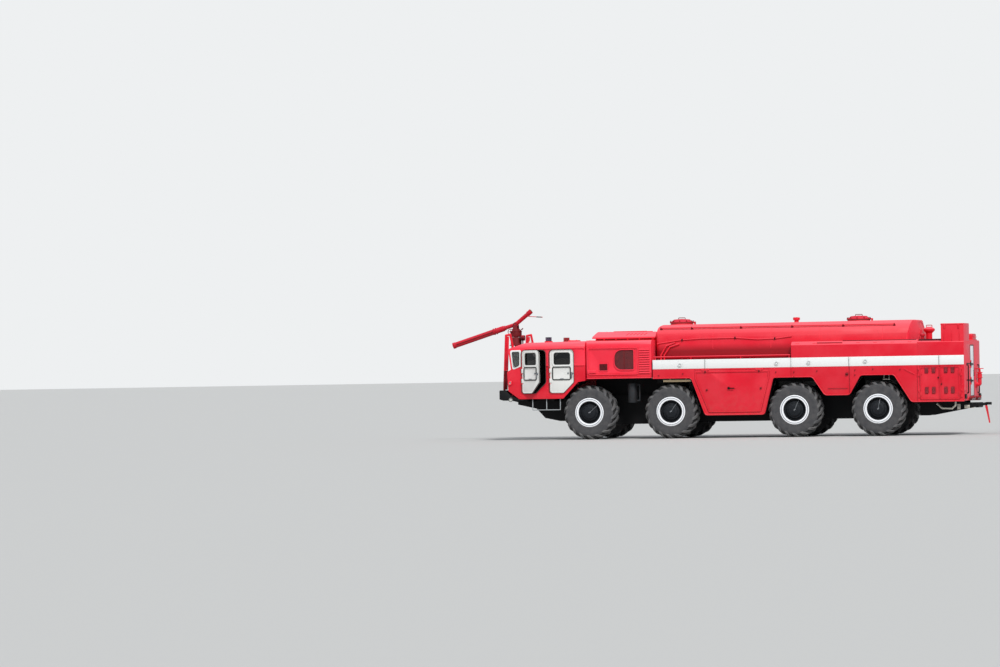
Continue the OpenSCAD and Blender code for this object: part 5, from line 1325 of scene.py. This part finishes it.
def band_fittings():
    """The white band's joints, its folding rings on their plates, and its rivets."""
    seams = bmesh.new()
    inner, outer = -SIDE_Y - 0.002, -SIDE_Y - 0.0068
    for x in (-0.700, 3.118, 5.470):
        add_box(seams, (x - 0.004, outer, BAND_Z[0] - 0.002), (x + 0.004, inner, BAND_Z[1] + 0.002))
    add_box(seams, (SPLIT_X[0], outer, BAND_Z[0]), (SPLIT_X[1], inner, BAND_Z[1]))
    pair("band_seams", seams, SEAL)
    rings, plates = bmesh.new(), bmesh.new()
    for x, z in ((-1.373, 1.935), (1.205, 1.942), (2.055, 1.945), (3.545, 1.958)):
        ring_handle(rings, plates, x, z)
    pair("band_ring_plates", plates, WHITE)
    pair("band_ring_handles", rings, GALVANISED)
    rivets = bmesh.new()
    for x0, x1 in ((-2.07, -0.74), (-0.66, 1.55), (1.63, 3.08), (3.16, 5.43), (5.51, 6.07)):
        count = round((x1 - x0) / 0.22) + 1
        for z in (BAND_Z[0] + 0.020, BAND_Z[1] - 0.020):
            bolt_row(rivets, (x0, -SIDE_Y - BAND_RISE, z), (x1, -SIDE_Y - BAND_RISE, z), count, 0.006,
                     rise=0.004)
    pair("band_rivets", rivets, WHITE)


def side_hardware():
    """Locks, the gaps between the sheets, and the rivets and one bead on the red sides."""
    bolts = bmesh.new()
    for x, z in ((2.270, 1.717), (3.270, 1.728), (3.268, 1.598), (3.742, 1.746), (1.662, 1.701),
                 (1.659, 1.570), (1.185, 1.708), (-1.30, 1.70), (-1.95, 1.66), (4.45, 1.72)):
        add_lathe(bolts, [(0, 0), (0.017, 0), (0.015, 0.006), (0.007, 0.010), (0, 0.010)],
                  side_spot(x, z), 14)
    place = side_spot(3.058, 1.627)
    knob = [(0, 0), (0.040, 0), (0.040, 0.006), (0.030, 0.012), (0.012, 0.014), (0.012, 0.026), (0, 0.028)]
    add_lathe(bolts, knob, place, 22)
    add_at(bolts, place, add_box, (-0.036, -0.008, 0.022), (0.036, 0.008, 0.034), 0.004)
    pair("side_locks", bolts, RED_SHADED)
    grooves = bmesh.new()
    for x0, x1, z0, z1 in ((3.120, 3.128, 1.092, 1.828), (2.552, 3.078, 1.249, 1.259),
                           (4.900, 4.905, 0.890, 1.828), (*SPLIT_X, 1.575, 2.398)):
        add_box(grooves, (x0, -SIDE_Y - 0.0012, z0), (x1, -SIDE_Y + 0.001, z1))
    pair("side_panel_gaps", grooves, JOINT_AND_SHADE_DARK)
    beads = bmesh.new()
    add_tube(beads, bent([(4.560, -SIDE_Y - 0.001, 1.750), (4.640, -SIDE_Y - 0.001, 1.700),
                          (4.835, -SIDE_Y - 0.001, 1.600)], 0.04), 0.007, 6)
    for x0, x1, z in ((-0.42, 0.62, 0.640), (2.55, 3.05, 1.112), (4.80, 6.02, 0.905)):
        bolt_row(beads, (x0, -SIDE_Y, z), (x1, -SIDE_Y, z), max(3, round((x1 - x0) / 0.15)), 0.007)
    for z in (0.98, 1.14, 1.30, 1.46, 1.62, 1.78):
        bolt_row(beads, (6.075, -SIDE_Y, z), (6.075, -SIDE_Y, z), 1, 0.008)
    for x0, x1 in ((1.64, 4.86), (4.95, 6.07)):
        bolt_row(beads, (x0, -SIDE_Y, 2.355), (x1, -SIDE_Y, 2.355), round((x1 - x0) / 0.2), 0.006)
    pair("side_beads_and_rivets", beads, RED)


def on_slope(x):
    """The middle of the cabinets' sloping roof edge at that x, tilted with it."""
    return at(x, -1.46, 2.4425) @ Matrix.Rotation(math.atan2(0.085, 0.130), 4, "X")


def cabinet_roofs():
    """The slot and lips on the cabinets' sloping edge, the gap beside the tank and the deck's kerb; the slot,
    the gap and the kerb are drawn in the dark red of painted shade.
    """
    bm = bmesh.new()
    slope = on_slope(2.6)
    add_at(bm, slope, add_box, (-0.33, -0.020, -0.004), (0.33, 0.020, 0.0015), 0.001)
    add_box(bm, (2.93, -1.392, 2.480), (4.86, -1.376, 2.502), 0.003)
    add_box(bm, (4.94, -1.392, 2.455), (5.515, -1.368, 2.505), 0.004)
    add_box(bm, (4.94, -1.392, 2.455), (4.964, 1.392, 2.500), 0.004)
    pair("cabinet_roof_painted_shade", bm, JOINT_AND_SHADE_DARK)
    lip = bmesh.new()
    add_at(lip, slope, add_box, (-0.345, -0.034, -0.002), (0.345, -0.022, 0.012), 0.003)
    add_at(lip, slope, add_box, (-0.345, 0.022, -0.002), (0.345, 0.030, 0.008), 0.002)
    for x in (1.75, 2.20, 3.35, 3.80, 4.25, 4.70):
        add_at(lip, on_slope(x), add_box, (-0.045, -0.016, -0.002), (0.045, 0.016, 0.010), 0.004)
    pair("cabinet_roof_lips", lip, RED)


def mid_door_trim(node):
    """Rolled frame, locks and a lever handle on the middle locker's door."""
    side = side_of(node)
    foot, top = (-0.615, 0.762), (-0.975, 0.990)
    rows = [(foot[0], 0.680, 0.025), (foot[1], 0.680, 0.025), (top[1], 1.570, 0.04), (top[1], 1.752, 0.015),
            (top[0], 1.752, 0.015), (top[0], 1.570, 0.04)]
    bm = bmesh.new()
    add_ring(bm, *outline_ring(rows, 0.022), on_side(-SIDE_Y), 0.004, 0.0015)
    finish(node + "_pressings", bm, RED, node, sides=side)
    locks, lever = bmesh.new(), bmesh.new()
    lock = [(0, 0), (0.026, 0), (0.026, 0.005), (0.018, 0.009), (0.008, 0.010), (0.008, 0.020), (0, 0.021)]
    for x, z in ((-0.661, 1.265), (0.780, 1.296), (0.734, 1.742), (-0.70, 1.742)):
        place = side_spot(x, z)
        add_lathe(locks, lock, place, 18)
        add_at(locks, place, add_box, (-0.020, -0.005, 0.014), (0.020, 0.005, 0.022), 0.002)
    finish(node + "_locks", locks, RED_SHADED, node, sides=side)
    place = side_spot(-0.075, 1.306)
    add_lathe(lever, [(0, 0), (0.034, 0), (0.034, 0.006), (0.020, 0.010), (0.014, 0.030), (0, 0.030)], place,
              20)
    add_at(lever, place, add_box, (-0.012, -0.014, 0.024), (0.150, 0.010, 0.034), 0.004)
    finish(node + "_lever", lever, DARK_STEEL, node, sides=side)


def leaf_trim(node, i):
    """Pressed edge and lock on one leaf of the rear locker."""
    side = side_of(node)
    x0, x1 = ((4.982, 5.481), (5.489, 5.998))[i]
    bm = bmesh.new()
    add_ring(bm, *outline_ring(oblong(x0, x1, 0.941, 1.784, 0.02), 0.016), on_side(-SIDE_Y), 0.0035, 0.0012)
    # Dark plates behind the vent hoods: painted shade in the vents.
    gaps = bmesh.new()
    for x in ((5.142, 5.325), (5.642, 5.820))[i]:
        for z in (1.100, 1.630):
            add_box(gaps, (x - 0.044, -SIDE_Y - 0.0015, z - 0.006), (x + 0.044, -SIDE_Y + 0.001, z + 0.156))
            for k in range(5):
                hood = [(-SIDE_Y + 0.002, z + k * 0.03 + 0.022), (-SIDE_Y - 0.006, z + k * 0.03 + 0.013),
                        (-SIDE_Y + 0.002, z + k * 0.03 + 0.013)]
                add_plate(bm, [Vector(p) for p in hood], on_rear(x - 0.040), 0.080)
    finish(node + "_pressings", bm, RED, node, sides=side)
    finish(node + "_vent_painted_shade", gaps, JOINT_AND_SHADE_DARK, node, sides=side)
    lock = bmesh.new()
    x = 5.446 if i == 0 else 5.524
    add_lathe(lock, [(0, 0), (0.020, 0), (0.020, 0.005), (0.012, 0.008), (0, 0.008)],
              side_spot(x, 1.330 if i else 1.500), 16)
    finish(node + "_lock", lock, DARK_STEEL, node, sides=side)


skirt_lips()
band_fittings()
side_hardware()
cabinet_roofs()
for node in MID_DOORS:
    mid_door_trim(node)
for node in sorted(LEAVES, key=lambda leaf: leaf[-1]):
    leaf_trim(node, 0 if node.endswith("a") else 1)


# Rear end

def rear_steelwork():
    """Two standing rods, two strips and the door's seal on the rear wall."""
    bm = bmesh.new()
    for y in (-1.05, 1.05):
        rod = staple((REAR_X - 0.004, y, 1.085), (REAR_X - 0.004, y, 1.812), (0.049, 0, 0))
        add_tube(bm, bent(rod, 0.03), 0.015, 10)
    for z in (1.42, 1.85):
        add_box(bm, (REAR_X - 0.002, -1.06, z - 0.014), (REAR_X + 0.012, -0.36, z + 0.014), 0.004)
    finish("rear_rods", bm, DARK_STEEL, CHASSIS)
    seal = bmesh.new()
    add_ring(seal, *outline_ring(oblong(-0.315, 0.315, 1.005, 2.325, 0.02), -0.020), on_rear(REAR_X - 0.001),
             0.008, 0.002)
    finish("rear_door_seal", seal, SEAL, CHASSIS)


def handwheel(bm, place, radius):
    """A cast handwheel with four spokes, its hub on the third axis of place."""
    ring = [place @ Vector((radius * math.cos(a), radius * math.sin(a), 0))
            for a in [math.tau * k / 20 for k in range(21)]]
    add_tube(bm, ring, radius * 0.11, 8)
    for a in (0, math.pi / 2, math.pi, math.pi * 3 / 2):
        tip = place @ Vector((radius * math.cos(a), radius * math.sin(a), 0))
        add_rod(bm, place.translation, tip, radius * 0.07, 8)
    add_rod(bm, place @ Vector((0, 0, -0.035)), place @ Vector((0, 0, 0.014)), radius * 0.2, 12)


def rear_valve():
    """The delivery valve beside the rear door: flange, elbow, bonnet and handwheel."""
    bm = bmesh.new()
    y, z = 0.72, 1.30
    pipe_x = REAR_X + 0.105
    wall = rear_spot(y, z)
    add_lathe(bm, [(0, 0), (0.105, 0), (0.105, 0.016), (0.060, 0.020), (0.060, 0.045), (0, 0.045)], wall, 28)
    add_bolts(bm, 0.086, 8, 0.014, 0.010, 0.012, wall)
    add_tube(bm, bent([(REAR_X + 0.03, y, z), (pipe_x, y, z), (pipe_x, y, z + 0.19)], 0.06), 0.050, 16)
    valve = [(0, 0), (0.075, 0), (0.075, 0.018), (0.056, 0.022), (0.062, 0.085), (0.050, 0.125),
             (0.075, 0.130), (0.075, 0.148), (0.030, 0.152), (0.022, 0.230), (0, 0.230)]
    add_lathe(bm, valve, at(pipe_x, y, z + 0.17), 26)
    handwheel(bm, at(pipe_x, y, z + 0.415), 0.095)
    finish("rear_delivery_valve", bm, RED, CHASSIS)


def rear_lamps():
    """Tail lamps in their black housings at the rear corners, and a reflector under each."""
    shells, ambers, reds = bmesh.new(), bmesh.new(), bmesh.new()
    add_box(shells, (REAR_X - 0.002, -1.495, 0.940), (REAR_X + 0.034, -1.235, 1.060), 0.010)
    lens = [(0, 0), (0.036, 0), (0.036, 0.006), (0.024, 0.013), (0, 0.015)]
    add_lathe(reds, lens, rear_spot(-1.435, 1.0, 0.033), 20)
    add_lathe(ambers, lens, rear_spot(-1.335, 1.0, 0.033), 20)
    add_lathe(reds, [(0, 0), (0.030, 0), (0.030, 0.008), (0, 0.009)], rear_spot(-1.435, 1.135), 18)
    pair("tail_lamp_housings", shells, BLACK)
    pair("tail_lamp_ambers", ambers, AMBER)
    pair("tail_lamp_reds", reds, RED_LENS)


def rear_couplings():
    """Claw rings and chains on the capped couplings."""
    claws = bmesh.new()
    for y in (-0.76, -0.40, 0.40, 0.76):
        place = rear_spot(y, 0.944, 0.0945)
        for a in (0.5, math.pi + 0.5):
            turned = place @ Matrix.Rotation(a, 4, "Z")
            add_at(claws, turned, add_box, (0.046, -0.016, 0), (0.062, 0.016, 0.030), 0.005)
        add_rod(claws, place @ Vector((-0.030, 0, 0.036)), place @ Vector((0.030, 0, 0.036)), 0.008, 8)
        links = [place @ Vector((0.055, 0.02, 0.008)), place @ Vector((0.075, 0.03, -0.03)),
                 place @ Vector((0.068, 0.055, -0.075)), place @ Vector((0.030, 0.070, -0.093))]
        add_tube(claws, bent(links, 0.03), 0.004, 6)
    finish("coupling_claws", claws, GALVANISED, CHASSIS)


def roof_boxes():
    """Lid, hinges and catches of the roof box, and the low housing across from it."""
    bm = bmesh.new()
    add_box(bm, (5.515, -1.518, 2.858), (6.112, -0.467, 2.892), 0.008)
    for x in (5.62, 5.98):
        add_box(bm, (x - 0.028, -1.524, 2.760), (x + 0.028, -1.506, 2.880), 0.005)
    for x in (5.60, 5.80, 6.00):
        add_box(bm, (x - 0.010, -1.5165, 2.44), (x + 0.010, -1.508, 2.75), 0.003)
    finish("roof_box_trim", bm, RED, CHASSIS)
    low = bmesh.new()
    add_box(low, (5.62, 0.62, 2.455), (6.06, 1.30, 2.640), 0.030)
    add_box(low, (5.60, 0.60, 2.452), (6.08, 1.32, 2.490), 0.010)
    for y in (0.78, 1.14):
        grip = staple((6.05, y - 0.06, 2.55), (6.05, y + 0.06, 2.55), (0.04, 0, 0))
        add_tube(low, bent(grip, 0.015), 0.007, 8)
    finish("roof_housing", low, RED, CHASSIS)


rear_steelwork()
rear_valve()
rear_lamps()
rear_couplings()
roof_boxes()


# Monitor details

SWIVEL_X, TRUNNION_Z = -6.19, 3.105
RISE, DROOP = math.radians(39), math.radians(17.5)  # of the barrel's tail and of its muzzle


def monitor_fittings():
    """The turret's handwheel, bolts, lever and flanges, and the brass plug in the barrel's raised tail."""
    turret, bright = bmesh.new(), bmesh.new()
    handwheel(turret, at(-6.28, -0.255, 2.905) @ on_side(0), 0.070)
    add_rod(turret, (-6.28, -0.08, 2.905), (-6.28, -0.25, 2.905), 0.014, 10)
    add_bolts(turret, 0.138, 12, 2.920, 0.011, 0.014, at(SWIVEL_X, 0, 0))
    add_rod(turret, (-6.09, -0.10, 2.90), (-5.99, -0.15, 2.965), 0.012, 10)
    add_rod(turret, (-5.99, -0.15, 2.965), (-5.955, -0.155, 2.99), 0.018, 10, 0.014)
    for z in (2.775, 2.905):
        add_lathe(turret, washer(0.150, 0.166, 0, 0.012), at(SWIVEL_X, 0, z), 40)
    finish("turret_fittings", turret, RED_SHADED, "monitor_turret")
    way = Vector((math.cos(RISE), 0, math.sin(RISE)))
    tail = Vector((SWIVEL_X, 0, TRUNNION_Z)) + way * 0.555
    turn = way.to_track_quat("Z", "Y").to_matrix().to_4x4()
    plug_line = [(0, 0), (0.050, 0), (0.050, 0.003), (0.036, 0.006), (0.012, 0.006), (0.010, 0.014),
                 (0, 0.014)]
    add_lathe(bright, plug_line, Matrix.Translation(tail) @ turn, 24)
    finish("barrel_tail_plug", bright, BRASS, "monitor_barrel")


def barrel_fittings():
    """Bolted flanges, the linkage under the barrel and the grips of its handle."""
    bm = bmesh.new()
    along_barrel = at(SWIVEL_X, 0, TRUNNION_Z) @ Matrix.Rotation(-math.pi / 2 - DROOP, 4, "Y")
    for h in (0.300, 0.556, 0.648):
        add_bolts(bm, 0.078 if h > 0.5 else 0.060, 10, h, 0.006, 0.010, along_barrel)
    add_rod(bm, along_barrel @ Vector((0, -0.085, 0.66)), along_barrel @ Vector((0, -0.085, 1.72)), 0.008, 8)
    for h in (0.70, 1.20, 1.70):
        add_at(bm, along_barrel, add_box, (-0.014, -0.094, h - 0.012), (0.014, -0.070, h + 0.012), 0.004)
    finish("barrel_fittings", bm, RED_SHADED, "monitor_barrel")
    grips = bmesh.new()
    for side in (-1, 1):
        a, b = Vector((-5.60, side * 0.068, 3.293)), Vector((-5.475, side * 0.070, 3.286))
        add_rod(grips, a, b, 0.0135, 12)
    finish("handle_grips", grips, SEAL, "monitor_barrel")


def stand_lamp():
    """The searchlight's rim and yoke on the monitor's stand."""
    bm = bmesh.new()
    place = at(-6.026, LIGHT_Y, LIGHT_Z) @ Matrix.Rotation(-math.pi / 2, 4, "Y")
    add_lathe(bm, [(0.066, -0.004), (0.078, -0.004), (0.078, 0.014), (0.066, 0.012), (0.066, -0.004)], place,
              28)
    add_tube(bm, bent([(-5.975, -0.12, 2.665), (-5.975, -0.205, 2.665), (-5.975, -0.205, 2.735)], 0.03),
             0.010, 8)
    add_tube(bm, bent([(-5.975, -0.035, 2.735), (-5.975, -0.035, 2.665), (-5.975, -0.12, 2.665)], 0.03),
             0.010, 8)
    finish("searchlight_yoke", bm, DARK_STEEL, CHASSIS)


monitor_fittings()
barrel_fittings()
stand_lamp()


# Underbody


def frame_fittings():
    """Pale brackets on the rails behind the rear axle, and one in the rearmost wheel arch."""
    pale = bmesh.new()
    add_box(pale, (5.77, -0.452, 0.650), (5.86, -0.436, 0.800), 0.006)
    add_box(pale, (5.96, -0.452, 0.680), (6.10, -0.436, 0.770), 0.006)
    for x in (5.79, 5.84, 5.99, 6.07):
        add_rod(pale, (x, -0.445, 0.72), (x, -0.466, 0.72), 0.012, 6)
    pair("tow_frame_brackets", pale, DUSTY_STEEL)
    hanger = bmesh.new()
    add_box(hanger, (3.965, -1.330, 1.468), (4.150, -1.235, 1.484), 0.004)
    for x in (3.99, 4.12):
        add_rod(hanger, (x, -1.28, 1.480), (x, -1.28, 1.602), 0.008, 8)
    pair("arch_bracket", hanger, DUSTY_STEEL)


def arch_flaps():
    """Rubber flaps on angle brackets, inboard of the tyres of the two rear axles."""
    flaps, brackets = bmesh.new(), bmesh.new()
    for x0, x1 in ((1.13, 2.12), (3.43, 4.26)):
        add_box(flaps, (x0, -0.872, 1.330), (x1, -0.866, 1.660), 0.002)
        for x in (x0 + 0.10, (x0 + x1) / 2, x1 - 0.10):
            add_box(brackets, (x - 0.02, -0.942, 1.625), (x + 0.02, -0.864, 1.631))
            add_rod(brackets, (x, -0.873, 1.600), (x, -0.862, 1.600), 0.010, 6)
    pair("arch_flaps", flaps, SEAL)
    pair("arch_flap_brackets", brackets, BLACK)


def hoop_plates():
    """A sheet behind each hoop's upright, red above and in painted shade below, bolted along its edge."""
    for name, rows, paint in (
            ("hoop_plate_upper", [(-6.219, 1.860), (-6.132, 1.860), (-6.092, 2.770), (-6.178, 2.770)], RED),
            ("hoop_plate_lower", [(-6.239, 1.350), (-6.156, 1.350), (-6.132, 1.858), (-6.219, 1.858)],
             RED_SHADED)):
        bm = bmesh.new()
        add_plate(bm, [Vector(p) for p in rows], on_side(-1.148), 0.006, 0.002)
        bolt_row(bm, (rows[1][0] - 0.012, -1.154, rows[0][1] + 0.05),
                 (rows[2][0] - 0.012, -1.154, rows[2][1] - 0.05), 6, 0.007)
        finish(name, bm, paint, CHASSIS, sides="both")


frame_fittings()
arch_flaps()
hoop_plates()
